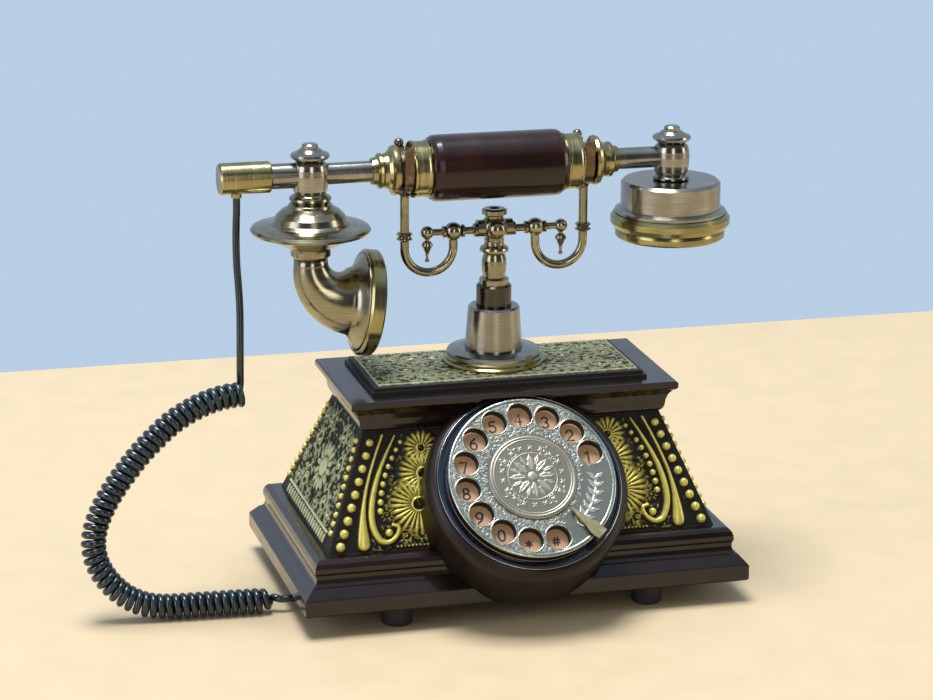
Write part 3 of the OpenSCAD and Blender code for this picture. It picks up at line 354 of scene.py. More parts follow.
class Mould:
    """A height map in millimetres that ornament is pressed into; u runs across its middle and
    v up from its lower edge."""

    def __init__(self, wide, low, high, step=0.25):
        self.step, self.low, self.left = step, low, -wide / 2
        self.u = np.arange(-wide / 2, wide / 2 + step, step)
        self.v = np.arange(low, high + step, step)
        self.height = np.zeros((len(self.v), len(self.u)))

    def window(self, u, v, reach):
        """The part of the map round a point, with the grid measured from the point."""
        c0, c1 = (int((x - self.left) / self.step) for x in (u - reach, u + reach))
        r0, r1 = (int((x - self.low) / self.step) for x in (v - reach, v + reach))
        c0, r0 = max(c0, 0), max(r0, 0)
        c1, r1 = min(c1 + 2, len(self.u)), min(r1 + 2, len(self.v))
        if c0 >= c1 or r0 >= r1:
            return None
        across, up = np.meshgrid(self.u[c0:c1] - u, self.v[r0:r1] - v)
        return (slice(r0, r1), slice(c0, c1)), across, up

    def press(self, where, height):
        self.height[where] = np.maximum(self.height[where], height)

    def bead(self, u, v, r, rise):
        found = self.window(u, v, r)
        if found:
            where, x, y = found
            self.press(where, rise * np.sqrt(np.clip(1 - (x * x + y * y) / r ** 2, 0, 1)))

    def ridge(self, path):
        """A rounded moulding along (u, v, half width, rise) points."""
        for (u0, v0, w0, h0), (u1, v1, w1, h1) in zip(path, path[1:]):
            reach = max(w0, w1) + math.hypot(u1 - u0, v1 - v0) / 2
            found = self.window((u0 + u1) / 2, (v0 + v1) / 2, reach)
            if not found:
                continue
            where, x, y = found
            dx, dy = (u1 - u0) / 2, (v1 - v0) / 2
            s = np.clip((x * dx + y * dy) / max(dx * dx + dy * dy, 1e-9), -1, 1)
            apart = np.hypot(x - s * dx, y - s * dy)
            share = (s + 1) / 2
            w, h = w0 + (w1 - w0) * share, h0 + (h1 - h0) * share
            self.press(where, h * np.sqrt(np.clip(1 - (apart / w) ** 2, 0, 1)))

    def leaf(self, u, v, angle, length, half, rise, lobes=3):
        """A leaf from its stalk at (u, v), with lobed sides and a sunk midrib."""
        found = self.window(u, v, length)
        if not found:
            return
        where, x, y = found
        c, s = math.cos(angle), math.sin(angle)
        along = (x * c + y * s) / length
        aside = np.abs(y * c - x * s)
        inside = (along > 0) & (along < 1)
        belly = np.sin(math.pi * np.clip(along, 0, 1) ** 0.75)
        belly = belly * (1 - 0.28 * np.abs(np.sin(lobes * math.pi * along)))
        width = np.maximum(half * belly, 1e-3)
        body = np.sqrt(np.clip(1 - (aside / width) ** 2, 0, 1))
        rib = 1 - 0.45 * np.exp(-(aside / (0.16 * half)) ** 2)
        self.press(where, np.where(inside, rise * body * rib, 0))

    def shell(self, u, v, inner, outer, ribs, rise, facing=0.0, spread=math.pi):
        """A fan of ribs round a dark hollow, with a raised lip at the hollow's edge."""
        found = self.window(u, v, outer)
        if not found:
            return
        where, x, y = found
        r = np.hypot(x, y)
        turn = np.arctan2(y, x) - facing
        turn = (turn + math.pi) % TAU - math.pi
        fan = np.abs(turn) < spread
        share = np.clip((r - inner) / (outer - inner), 0, 1)
        rib = np.abs(np.cos(ribs * turn / 2))
        body = rise * (0.05 + 0.95 * rib) * np.sin(math.pi * share ** 0.6) ** 0.6
        lip = rise * 1.1 * np.exp(-((r - inner) / (0.14 * inner + 0.25)) ** 2)
        made = np.where(fan & (r < outer), np.maximum(np.where(r > inner, body, 0), lip), 0)
        field = self.height[where]
        hollow = r < inner * 0.85
        self.height[where] = np.where(hollow, np.minimum(field, 0.1), np.maximum(field, made))

    def scroll(self, u, v, size, start, hand, rise, leaves=6):
        """A curling stem with leaves thrown off its outer side and a bud at its eye."""
        path, steps = [], 26
        for k in range(steps + 1):
            s = k / steps
            a = start + hand * s * 1.45 * TAU
            r = size * (1 - s) ** 0.8 * 0.92 + size * 0.12
            path.append((u + r * math.cos(a), v + r * math.sin(a),
                         size * (0.11 - 0.03 * s), rise * (0.7 + 0.3 * s)))
        for k in range(leaves):
            at = path[int(k * 15 / leaves)]
            out = math.atan2(at[1] - v, at[0] - u) + hand * 0.75
            self.leaf(at[0], at[1], out, size * 0.85, size * 0.24, rise * 0.85)
        self.ridge(path)
        self.bead(u, v, size * 0.2, rise * 1.1)

    def scatter(self, number, inside, length, half, rise, seed):
        """Small leaves strewn over the ground between the larger ornament."""
        draw = np.random.default_rng(seed)
        spans = draw.random((number, 4))
        for a, b, turn, size in spans:
            u = self.u[0] + a * (self.u[-1] - self.u[0])
            v = self.v[0] + b * (self.v[-1] - self.v[0])
            if inside(u, v):
                grown = 0.7 + 0.6 * size
                self.leaf(u, v, turn * TAU, length * grown, half * grown, rise * grown, 2)

    def mirrored(self):
        self.height = np.maximum(self.height, self.height[:, ::-1])

    def at(self, u, v):
        """Heights read between the map's points."""
        x = np.clip((u - self.left) / self.step, 0, len(self.u) - 1.001)
        y = np.clip((v - self.low) / self.step, 0, len(self.v) - 1.001)
        c, r = x.astype(int), y.astype(int)
        fx, fy = x - c, y - r
        h = self.height
        return (
            h[r, c] * (1 - fx) * (1 - fy) + h[r, c + 1] * fx * (1 - fy)
            + h[r + 1, c] * (1 - fx) * fy + h[r + 1, c + 1] * fx * fy
        )


# How far the rim of a skin is let into the face under it
SKIN_SUNK = 0.3


def skin(name, mould, us, vs, place, finish, body, full, keep=None, ground=0.06,
         sunk=True, cut=np.any):
    """A raised skin over a grid of (u, v) points; place maps them and a height to the object.
    keep tells which points stay, and cut whether a face needs any or all of its corners."""
    height = mould.at(us, vs)
    lifted = height + ground
    if sunk:
        lifted[0], lifted[-1], lifted[:, 0], lifted[:, -1] = [-SKIN_SUNK] * 4
    points, height = place(us, vs, lifted).reshape(-1, 3), height.ravel()
    faces = grid_faces(*us.shape)
    if keep is not None:
        faces = faces[cut(keep(points)[faces], axis=1)]
        used = np.unique(faces)
        fresh = np.full(len(points), -1)
        fresh[used] = np.arange(len(used))
        points, faces, height = points[used], fresh[faces], height[used]
    return piece(name, points, faces, finish, body, np.clip(height / full, 0, 1))


def ball_points(centre, r, rings=10, sides=16):
    polar = np.linspace(0.06, math.pi - 0.06, rings)
    turn = np.linspace(0, TAU, sides, endpoint=False)
    x = np.outer(np.sin(polar), np.cos(turn))
    y = np.outer(np.sin(polar), np.sin(turn))
    z = np.repeat(np.cos(polar)[:, None], sides, 1)
    return np.stack([x, y, z], -1).reshape(-1, 3) * r + np.asarray(centre)


def beads(name, places, finish, body, rings=10, sides=16):
    """Rows of separate round beads in one piece; places are (centre, radius)."""
    points = [ball_points(c, r, rings, sides) for c, r in places]
    one = grid_faces(rings, sides, wrap_columns=True)
    faces = [one + k * rings * sides for k in range(len(places))]
    points, faces = np.vstack(points), np.vstack(faces)
    return piece(name, points, faces, finish, body, np.ones(len(points)))


# Sizes in mm of a dab of the gilder's brush and of a cloud of tarnish
BRUSH_DAB = 2.4
TARNISH_CLOUD = 6.25


def worn_height(tree, size, gain, shift):
    """How far a point stands proud, made uneven by a noise of this size, and the noise."""
    raised = add(tree, "Attribute", attribute_name="raised")
    noise = add(tree, "TexNoise", {"Scale": 1.0, "Detail": 4.0},
                {"Vector": patterned(tree, size)})
    spread = add(tree, "Math", {1: gain, 2: shift}, {0: noise}, operation="MULTIPLY_ADD")
    return add(tree, "Math", {}, {0: raised.outputs["Fac"], 1: spread}, operation="ADD"), noise


def gilt_relief(name, tones):
    """Cold-cast resin, painted black and dry-brushed with gold: the gold stays on what stands
    proud and the hollows stay black. tones run from the hollows to the tops."""
    material, tree = blank(name)
    much, dab = worn_height(tree, BRUSH_DAB, 0.5, -0.25)
    colour = add(tree, "ValToRGB", links={"Fac": much},
                 stops=tones).outputs["Color"]
    shine = add(tree, "MapRange", {"From Min": 0.1, "From Max": 0.8, "To Min": 0.55,
                "To Max": 0.36}, {"Value": much})
    metal = add(tree, "MapRange", {"From Min": 0.2, "From Max": 0.7, "To Min": 0.0,
                "To Max": 0.45}, {"Value": much})
    bump = add(tree, "Bump", {"Strength": 0.15, "Distance": SCRATCH_DEPTH * MM},
               {"Height": dab})
    gold = add(tree, "BsdfPrincipled", {"Specular IOR Level": 0.3}, {
        "Base Color": colour, "Roughness": shine, "Metallic": metal,
        "Normal": bump,
    })
    add(tree, "OutputMaterial", links={"Surface": gold})
    return material


def engraved(name, low, high, top, roughness):
    """Plated steel stamped with ornament: the sunk ground is matt, the raised parts shine."""
    material, tree = blank(name)
    much, _ = worn_height(tree, TARNISH_CLOUD, 0.35, -0.17)
    colour = add(tree, "ValToRGB", links={"Fac": much},
                 stops=[(0.0, low), (0.85, top), (0.35, high)]).outputs["Color"]
    rough = add(tree, "MapRange", {"From Min": 0.0, "From Max": 1.0,
                "To Min": roughness + 0.15, "To Max": roughness - 0.05},
                {"Value": much})
    plate = add(tree, "BsdfPrincipled", {"Metallic": 0.85},
                {"Base Color": colour, "Roughness": rough})
    add(tree, "OutputMaterial", links={"Surface": plate})
    return material


# Olive gold rubbed over black; the eye sees bright ornament on a black ground
relief_gold = gilt_relief("gilt_relief", [
    (0.16, "#060604"), (0.38, "#29250f"), (0.58, "#746b29"), (0.8, "#ada246"), (1.0, "#cfc56a"),
])
# The same gold made paler and greyer, on the short sides and the top plate
pale_gold = gilt_relief("gilt_relief_paler", [
    (0.1, "#0a0b08"), (0.28, "#3b3f2c"), (0.5, "#7d8060"), (0.75, "#a7a97f"), (1.0, "#cfcfa4"),
])
# Silvered steel, stamped: pale leaves on a matt grey ground
wheel_engraving = engraved("wheel_engraving", "#6d726a", "#92968a", "#c8c9ba", 0.3)
# Cast pewter: a warmer, duller rosette
medallion_engraving = engraved("medallion_engraving", "#716f63", "#827f72", "#b2b09e", 0.38)


# ---- Finishes of the CAD nodes ----

NODES_IN = [
    (mahogany_lacquer, "plinth cornice"), (drum_lacquer, "dial_housing"),
    (black_resin_and_shadow, "body_shell top_plate"), (painted_hardboard, "bottom_plate"),
    (foot_rubber, "feet"), (bezel_plastic, "dial_bezel"), (number_card, "number_plate"),
    (grip_wood, "grip"), (board_laminate, "circuit_board"),
    (capsule_plastic, "microphone_capsule receiver_capsule ringer_speaker"),
    (socket_plastic, "hook_switch line_socket ringer_knob handset_jack cord_plug"),
    (zinc_plate, "dial_frame"), (screw_steel, "bottom_screws"),
    (spring_steel, "mainspring hook_spring dial_spindle"),
    (gear_brass, "spindle_bush drive_gear pulse_shaft governor"),
    (silver_wheel, "finger_wheel"), (medallion_metal, "medallion"),
    (gilt_plain, "finger_stop"), (gilt_z, "column_flange ear_cap"),
    (gilt_x, "grip_ferrules bell_collars end_cap horn_rim"), (pewter_x, "handset_tube"),
    (pewter_z, "column_disc column_sleeve mouthpiece_boss earpiece_boss boss_finials ear_cup"),
    (antique_z, "cradle_stem mouthpiece_brim mouthpiece_horn"),
    (cradle_brass, "cradle_boss cradle_arms hook_left hook_right drop_finials"),
    (dark_steel, "hook_plunger microphone_grille"), (copper_strap, "fork_left fork_right"),
]
for finish, node_names in NODES_IN:
    for node_name in node_names.split():
        slots = frame["nodes"][node_name].data.materials
        if not slots:
            slots.append(finish)
        for k in range(len(slots)):
            slots[k] = finish


# Castings have slightly rounded edges that catch a thin line of light
EDGE_ROUND = 0.6
for node_name in ("plinth", "cornice", "top_plate"):
    rounded = frame["nodes"][node_name].modifiers.new("rounded_edges", "BEVEL")
    rounded.width = EDGE_ROUND * MM
    rounded.segments = 2
    rounded.limit_method = "ANGLE"
    rounded.angle_limit = math.radians(40)


# ---- Gilt relief on the body's four sides ----

body_low, body_high = (np.array(c) * PER_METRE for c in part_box("body_shell"))
# How far each side leans in over its height, and how long the side is up its slope
BODY_LEAN = 22.5
body_rise = body_high[2] - body_low[2]
slope = math.hypot(BODY_LEAN, body_rise)
# Ornament this high and higher is fully gold
FULL_GOLD = 1.24
PLATE_FULL_GOLD = 1.0
# Grid of the skins, and how far they stop short of the side's upper and lower edges
SKIN_STEP = 0.42
SKIN_SHORT = 0.2


def side_place(facing, half_depth):
    """Maps (across, up the slope, out) to the object for a side that faces a turn about Z."""
    c, s = math.cos(facing), math.sin(facing)

    def place(u, v, h):
        inward = BODY_LEAN * v / slope
        out = half_depth - inward + h * body_rise / slope
        z = body_low[2] + body_rise * v / slope + h * BODY_LEAN / slope
        # facing 0 is the front: out is -Y and across is +X
        x, y = u, -out
        return np.stack([x * c - y * s, x * s + y * c, z + 0 * u], -1)
    return place


FRONT_HALF = float(body_high[0] - body_low[0]) / 2
SIDE_HALF = float(body_high[1] - body_low[1]) / 2


def half_at(v, foot):
    """Half the width of a side at a height up its slope; foot is half of its lower edge."""
    return foot - BODY_LEAN * v / slope


def from_edge(foot, path):
    """(distance in from the corner, v, half width, rise) points to the mould's own."""
    return [(half_at(v, foot) - e, v, w, h) for e, v, w, h in path]


def smooth_path(points, spacing=0.8):
    """Like smooth_route, for (place, v, half width, rise) points."""
    p = np.asarray(points, float)
    run = np.concatenate([[0], np.cumsum(np.hypot(*np.diff(p[:, :2], axis=0).T))])
    q = np.vstack([2 * p[0] - p[1], p, 2 * p[-1] - p[-2]])
    out = []
    for k in range(1, len(q) - 2):
        for s in np.linspace(0, 1, max(2, int((run[k] - run[k - 1]) / spacing)), False):
            out.append(tuple(between(q, k, s)))
    return out + [tuple(p[-1])]


# The front's design, measured in from the corner and up the slope. Ribbons give their half
# width and rise as well, beads their radius, shells their hollow, their reach and their ribs.
OUTER_RIBBON = [
    (10.2, 56.5, 0.8, 1.3), (9.6, 48, 0.8, 1.5), (9.4, 38, 0.85, 1.6), (10.0, 28, 1.0, 1.7),
    (11.6, 19, 1.5, 1.8), (13.6, 12, 2.3, 1.9), (15.4, 7, 3.0, 2.0), (16.6, 3.8, 3.3, 1.8),
]
INNER_RIBBON = [
    (16.6, 56, 0.6, 1.2), (15.0, 48, 0.9, 1.5), (13.9, 39, 1.2, 1.8), (13.8, 31, 1.5, 2.0),
    (14.8, 23, 1.7, 2.1), (17.0, 15.5, 1.8, 2.1), (20.4, 9.5, 1.8, 2.0), (24.6, 5.2, 1.6, 1.9),
    (29.0, 4.4, 1.4, 1.8), (32.0, 7.4, 1.2, 1.8), (31.6, 11.4, 1.0, 1.7), (28.4, 12.6, 0.9, 1.6),
]
LARGE_BEADS = [(5.0, 3.6 + 6.2 * k, 2.35 - 0.05 * k) for k in range(9)]
SMALL_BEADS = [
    (20.2, 19.5, 1.6), (19.0, 23.9, 1.6), (18.2, 28.3, 1.55), (17.7, 32.6, 1.5),
    (17.6, 36.8, 1.45), (17.9, 41.0, 1.4), (18.6, 45.0, 1.3), (19.5, 48.9, 1.2),
    (20.6, 52.6, 1.1), (27.6, 8.9, 1.9),
]
CORNER_BEADS = [(3.6, 9.4 + 4.4 * k, 1.55) for k in range(11)]
SHELLS = [(31.8, 49.0, 2.0, 9.6, 17), (36.4, 36.6, 2.8, 13.4, 23), (38.8, 21.6, 3.2, 16.2, 27)]


def long_side_mould(middle):
    """Front and back share one design; the back has a full middle where the dial would be."""
    mould = Mould(2 * FRONT_HALF + 2, 0, slope, 0.25)
    mould.ridge(smooth_path(from_edge(FRONT_HALF, OUTER_RIBBON)))
    mould.ridge(smooth_path(from_edge(FRONT_HALF, INNER_RIBBON)))
    for e, v, inner, outer, ribs in reversed(SHELLS):
        mould.shell(half_at(v, FRONT_HALF) - e, v, inner, outer, ribs, 1.5)
    for k in range(24):
        e = 34 + 1.9 * k
        mould.bead(half_at(1.8, FRONT_HALF) - e, 1.8, 0.85, 1.0)
    for e, v, size, start, hand in ((37, 6.6, 3.2, 0.4, 1), (45, 7.2, 3.4, 2.4, -1),
                                    (23.8, 17.5, 2.6, 1.5, 1), (24.5, 30, 2.4, 3.5, -1)):
        mould.scroll(half_at(v, FRONT_HALF) - e, v, size, start, hand, 1.2)
    mould.scatter(1300, lambda u, v: half_at(v, FRONT_HALF) - abs(u) > 21 and v < 56,
                  2.8, 0.7, 0.75, 11)
    mould.scatter(90, lambda u, v: half_at(v, FRONT_HALF) - abs(u) < 8 and v < 56,
                  2.2, 0.55, 0.6, 12)
    if middle:
        mould.shell(0, 20, 4, 17, 24, 1.7)
        mould.bead(0, 20, 2.4, 1.6)
        mould.shell(0, 46, 3, 9.5, 16, 1.5)
        for u, v, size, start, hand in ((30, 14, 6, 2.2, -1), (22, 40, 6.5, 0.6, 1),
                                        (36, 49, 4.5, 2.4, -1), (13, 51, 3.4, 1.2, 1)):
            mould.scroll(u, v, size, start, hand, 1.4)
    mould.mirrored()
    return mould


def short_side_mould():
    """A flower in the middle, scrolls round it, and a comb of short bars along the foot."""
    mould = Mould(2 * SIDE_HALF + 2, 0, slope, 0.25)
    petals, petal_foot, middle = 14, 5.6, 29
    mould.bead(0, middle, 5.2, 2.3)
    for k in range(petals):
        a = TAU * k / petals
        mould.leaf(petal_foot * math.cos(a), middle + petal_foot * math.sin(a), a, 8.2, 2.0, 1.5)
    for u, v, size, start, hand in (
        (21, 17, 6.5, 2.6, -1), (22, 37, 6.0, 3.6, 1), (13.5, 49, 5.0, 4.4, -1),
        (34, 14, 4.2, 2.4, 1), (9, 12.6, 3.6, 1.2, 1), (34, 25.5, 3.4, 2.2, -1),
        (26, 49, 3.2, 3, 1),
    ):
        mould.scroll(u, v, size, start, hand, 1.4)
    for k in range(10):
        u = 2.2 + 4.3 * k
        mould.ridge([(u, 2.6, 1.35, 1.2), (u, 5.6, 1.35, 1.2)])
    mould.ridge([(0, 7.9, 0.8, 1.4), (43, 7.9, 0.8, 1.4)])
    mould.scatter(520, lambda u, v: half_at(v, SIDE_HALF) - abs(u) > 4.5 and 8 < v < 57,
                  2.8, 0.7, 0.85, 21)
    mould.mirrored()
    return mould


long_side_front = long_side_mould(False)
long_side_back = long_side_mould(True)
short_side = short_side_mould()


DIAL_TURN = next(j for j in frame["joints"] if j["name"] == "dial_turn")
DIAL_CENTRE = np.array(DIAL_TURN["pos_m"]) * PER_METRE
dial_out = -np.array(DIAL_TURN["axis"], float)
dial_up = np.cross(dial_out, [1.0, 0, 0])
DIAL_AXES = np.stack([np.array([1.0, 0, 0]), dial_up, dial_out], 1)
# The drum that the dial sits in: its radius, and how far it reaches back from the wheel
DRUM_R = 50.5
DRUM_BACK = 45
DRUM_LAP = 0.6


def dial_place(points):
    """Dial points, with +Z out of its face, set on the object."""
    points = np.asarray(points, float).reshape(-1, 3)
    return points @ DIAL_AXES.T + DIAL_CENTRE


def clear_of_drum(points):
    """True for points outside the dial's drum."""
    local = (points - DIAL_CENTRE) @ DIAL_AXES
    return (np.hypot(local[:, 0], local[:, 1]) > DRUM_R - DRUM_LAP) | (local[:, 2] < -DRUM_BACK)


def body_side(name, mould, facing, foot, half_depth, finish, keep=None):
    """One side's skin, from its mould, on the side that faces this turn about Z."""
    columns, rows = int(2 * foot / SKIN_STEP), int(slope / SKIN_STEP)
    share, v = np.meshgrid(np.linspace(-1, 1, columns),
                           np.linspace(SKIN_SHORT, slope - SKIN_SHORT, rows))
    u = share * half_at(v, foot)
    return skin(name, mould, u, v, side_place(facing, half_depth), finish, "base",
                FULL_GOLD, keep)


body_side("relief_front", long_side_front, 0, FRONT_HALF, SIDE_HALF, relief_gold, clear_of_drum)
body_side("relief_back", long_side_back, math.pi, FRONT_HALF, SIDE_HALF, relief_gold)
body_side("relief_right", short_side, math.pi / 2, SIDE_HALF, FRONT_HALF, pale_gold)
body_side("relief_left", short_side, -math.pi / 2, SIDE_HALF, FRONT_HALF, pale_gold)

bead_places = []
for facing, foot, half_depth, rows in (
    (0, FRONT_HALF, SIDE_HALF, LARGE_BEADS + SMALL_BEADS),
    (math.pi, FRONT_HALF, SIDE_HALF, LARGE_BEADS + SMALL_BEADS),
    (math.pi / 2, SIDE_HALF, FRONT_HALF, CORNER_BEADS),
    (-math.pi / 2, SIDE_HALF, FRONT_HALF, CORNER_BEADS),
):
    place = side_place(facing, half_depth)
    for e, v, r in rows:
        for side in (-1, 1):
            u = side * (half_at(v, foot) - e)
            bead_places.append((place(u, v, 0.3 * r), r))
beads("relief_beads", bead_places, relief_gold, "base", 9, 14)


# ---- Embossed top plate ----

plate_low, plate_high = (np.array(c) * PER_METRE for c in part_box("top_plate"))
# The plain black frame round the embossing, and how far the skin goes under its lip
PLATE_FRAME = 4.2
PLATE_LAP = 0.6


def plate_mould():
    """Close scrolls in rows on each half, leaves between them, and two lines round the edge."""
    wide, deep = plate_high[0] - plate_low[0], plate_high[1] - plate_low[1]
    mould = Mould(wide, 0, deep, 0.2)
    middle = deep / 2
    cells = []
    for k in range(6):
        u = 7 + 10.8 * k
        for row, v in enumerate((middle - 15.5, middle + 15.5)):
            start = (0.7 + 1.9 * k) * (1 if row else -1)
            cells.append((u, v, 6.6, start, 1 if (k + row) % 2 else -1))
        if k > 2:
            hand = 1 if k % 2 else -1
            cells.append((u - 3, middle + 4 * hand, 6.0, 1.1 * k, hand))
    for u, v, size, start, hand in cells:
        mould.scroll(u, v, size, start, hand, 0.85, 7)
    mould.scatter(1500, lambda u, v: True, 3.0, 0.65, 0.6, 31)
    mould.mirrored()
    edge_u = wide / 2 - PLATE_FRAME
    for inset, rise, half in ((0.0, 0.8, 0.55), (2.2, 0.5, 0.3)):
        u, v0, v1 = edge_u - inset, PLATE_FRAME + inset, deep - PLATE_FRAME - inset
        mould.ridge([(-u, v0, half, rise), (u, v0, half, rise), (u, v1, half, rise),
                     (-u, v1, half, rise), (-u, v0, half, rise)])
    return mould, wide, deep


def plate_place(u, v, h):
    return np.stack([u, v + plate_low[1], plate_high[2] + h], -1)


plate_map, plate_wide, plate_deep = plate_mould()
us, vs = np.meshgrid(
    np.linspace(-plate_wide / 2 + PLATE_FRAME - PLATE_LAP,
                plate_wide / 2 - PLATE_FRAME + PLATE_LAP, 380),
    np.linspace(PLATE_FRAME - PLATE_LAP, plate_deep - PLATE_FRAME + PLATE_LAP, 160),
)
# The column stands through the embossing, which runs a little way under its flange
COLUMN_Y = 2.5
FLANGE_R = 25.1
FLANGE_LAP = 1.0
skin("plate_emboss", plate_map, us, vs, plate_place, pale_gold, "base", PLATE_FULL_GOLD,
     lambda p: np.hypot(p[:, 0], p[:, 1] - COLUMN_Y) > FLANGE_R - FLANGE_LAP,
     0.05)


# ---- Engraved wheel and medallion ----

# The wheel's face is level 0 of the dial; the card lies below it, the medallion stands above
WHEEL_R = 41.6
HOLE_CIRCLE_R = 32.9
HOLE_R = 6.1
MEDALLION_R = 22.3
MEDALLION_TOP = 0.9
SHADOW_WELL_DEPTH = 4.9
CARD_TOP = -5.4
FIRST_HOLE = 19
HOLE_STEP = 24
LABELS = "1234567890*#"
hole_turns = [math.radians(FIRST_HOLE + HOLE_STEP * k) for k in range(len(LABELS))]
hole_centres = [(HOLE_CIRCLE_R * math.cos(a), HOLE_CIRCLE_R * math.sin(a)) for a in hole_turns]


def wheel_mould():
    """Fine leaves all over the ring of holes, and a larger spray on the plain part."""
    mould = Mould(86, -43, 43, 0.16)

    def ground(u, v):
        r, a = math.hypot(u, v), math.degrees(math.atan2(v, u))
        return 23 < r < 40 and not (-67 < a < 9 and r > 24.5)
    mould.scatter(9000, ground, 1.8, 0.4, 0.12, 41)
    # a spray of leaves on the plain sector beside the stop
    spine = [(31.5 * math.cos(a), 31.5 * math.sin(a)) for a in np.linspace(-0.95, -0.1, 7)]
    for k, (u, v) in enumerate(spine):
        along = math.atan2(v, u) + math.pi / 2
        for side in (-1, 1):
            mould.leaf(u, v, along + side * 0.9, 6.4 - 0.25 * k, 1.3, 0.26, 2)
    mould.ridge([(u, v, 0.5, 0.26) for u, v in spine])
    mould.bead(*spine[-1], 1.2, 0.26)
    return mould


def clear_of_holes(points):
    """True for points outside the finger holes."""
    local = (points - DIAL_CENTRE) @ DIAL_AXES
    away = np.full(len(points), True)
    for u, v in hole_centres:
        away &= np.hypot(local[:, 0] - u, local[:, 1] - v) > HOLE_R + 0.45
    return away


def polar_grid(inner, outer, rows, columns):
    r, a = np.meshgrid(np.linspace(inner, outer, rows), np.linspace(0, TAU, columns))
    return r * np.cos(a), r * np.sin(a)


def dial_skin(name, mould, us, vs, level, finish, full, keep=None):
    """A raised skin on the turning face of the dial, at a level above the wheel."""
    def place(u, v, h):
        return dial_place(np.stack([u, v, level + h], -1))
    skin(name, mould, us, vs, place, finish, "dial", full, keep, 0.02, False, np.all)


wu, wv = polar_grid(MEDALLION_R - 0.2, WHEEL_R - 1.9, 84, 900)
dial_skin("wheel_engraving", wheel_mould(), wu, wv, 0, wheel_engraving, 0.18,
          clear_of_holes)


def at_each_hole(name, profile, finish):
    """One turned shape set in every finger hole, all as one piece on the wheel."""
    ring, faces = lathe(profile, 48)
    points = np.vstack([ring + np.array([u, v, 0]) for u, v in hole_centres])
    faces = np.vstack([faces + k * len(ring) for k in range(len(hole_centres))])
    piece(name, dial_place(points), faces, finish, "dial")


at_each_hole("hole_rims", [
    (HOLE_R + 0.85, -0.3), (HOLE_R + 0.85, 0.1), (HOLE_R + 0.6, 0.3), (HOLE_R + 0.3, 0.32),
    (HOLE_R + 0.05, 0.18), (HOLE_R + 0.02, -0.3),
], silver_wheel)
# Black wells under the finger holes: their dark inner walls are a painted shadow, the crescent of
# shade that the wheel casts at the top of each hole
at_each_hole("hole_shadow_wells", [
    (HOLE_R - 0.07, -0.25), (HOLE_R - 0.07, -SHADOW_WELL_DEPTH), (HOLE_R + 0.4, -SHADOW_WELL_DEPTH),
    (HOLE_R + 0.4, -0.25),
], black_resin_and_shadow)
edge, faces = lathe([(WHEEL_R - 0.2, -1.7), (WHEEL_R + 0.06, -1.7), (WHEEL_R + 0.06, 0.05),
                     (WHEEL_R - 0.5, 0.32), (WHEEL_R - 1.6, 0.3), (WHEEL_R - 2.0, 0.12),
                     (WHEEL_R - 2.1, -0.2)], 180)
piece("wheel_edge", dial_place(edge), faces, silver_wheel, "dial")


def medallion_mould():
    """A generic rosette: leaves round a bud, with a wreath and two rings."""
    mould = Mould(46, -23, 23, 0.14)
    for k in range(8):
        a = TAU * k / 8
        mould.leaf(3.2 * math.cos(a), 3.2 * math.sin(a), a, 8.6, 2.3, 0.32, 3)
        a += TAU / 16
        mould.leaf(6.0 * math.cos(a), 6.0 * math.sin(a), a, 6.4, 1.3, 0.26, 2)
    for k in range(36):
        a = TAU * k / 36
        mould.leaf(14.0 * math.cos(a), 14.0 * math.sin(a), a + 0.9 * (-1) ** k, 3.4, 0.8, 0.24, 2)
    for k in range(4):
        a = TAU * k / 4 + TAU / 8
        for hand in (-1, 1):
            b = a + hand * 0.2
            mould.scroll(14.6 * math.cos(b), 14.6 * math.sin(b), 2.2, a, hand, 0.26, 4)
    mould.bead(0, 0, 2.4, 0.4)
    for r, half in ((20.6, 0.5), (19.3, 0.28), (12.2, 0.22)):
        ring = [(r * math.cos(a), r * math.sin(a), half, 0.26) for a in np.linspace(0, TAU, 120)]
        mould.ridge(ring)
    return mould


mu, mv = polar_grid(0.02, MEDALLION_R - 0.5, 110, 420)
dial_skin("medallion_rosette", medallion_mould(), mu, mv, MEDALLION_TOP, medallion_engraving,
          0.26)


# ---- Numbers on the card ----

def arc(cu, cv, ru, rv, start, end, steps=14):
    return [
        (cu + ru * math.cos(a), cv + rv * math.sin(a))
        for a in np.radians(np.linspace(start, end, steps))
    ]


# Strokes of each character on a field about 3.4 wide and 5.6 tall, centred on the origin
CHARACTERS = {
    "1": [[(-1.1, 1.5), (0.3, 2.8), (0.3, -2.8)]],
    "2": [arc(0, 1.2, 1.6, 1.6, 165, -30) + [(-1.6, -2.7), (1.7, -2.7)]],
    "3": [arc(-0.1, 1.35, 1.45, 1.4, 150, -80), arc(-0.1, -1.35, 1.65, 1.45, 80, -150)],
    "4": [[(0.9, -2.8), (0.9, 2.8), (-1.7, -1.2), (1.8, -1.2)]],
    "5": [[(1.4, 2.75), (-1.1, 2.75), (-1.3, 0.35)] + arc(-0.1, -1.0, 1.7, 1.75, 125, -150)],
    "6": [arc(0, -1.1, 1.6, 1.65, 0, 360, 20),
          [(1.0, 2.7)] + arc(1.2, -0.9, 2.8, 3.2, 110, 178, 8)],
    "7": [[(-1.6, 2.7), (1.6, 2.7), (-0.5, -2.8)]],
    "8": [arc(0, 1.4, 1.35, 1.35, 0, 360, 18), arc(0, -1.35, 1.65, 1.45, 0, 360, 20)],
    "9": [arc(0, 1.1, 1.6, 1.65, 0, 360, 20),
          [(-1.0, -2.7)] + arc(-1.2, 0.9, 2.8, 3.2, -70, -2, 8)],
    "0": [arc(0, 0, 1.6, 2.75, 0, 360, 24)],
    "*": [[(0, 1.7), (0, -1.7)], [(-1.5, 0.85), (1.5, -0.85)], [(-1.5, -0.85), (1.5, 0.85)]],
    "#": [[(-0.5, 1.9), (-0.9, -1.9)], [(0.9, 1.9), (0.5, -1.9)], [(-1.6, 0.65), (1.6, 0.65)],
          [(-1.6, -0.65), (1.6, -0.65)]],
}
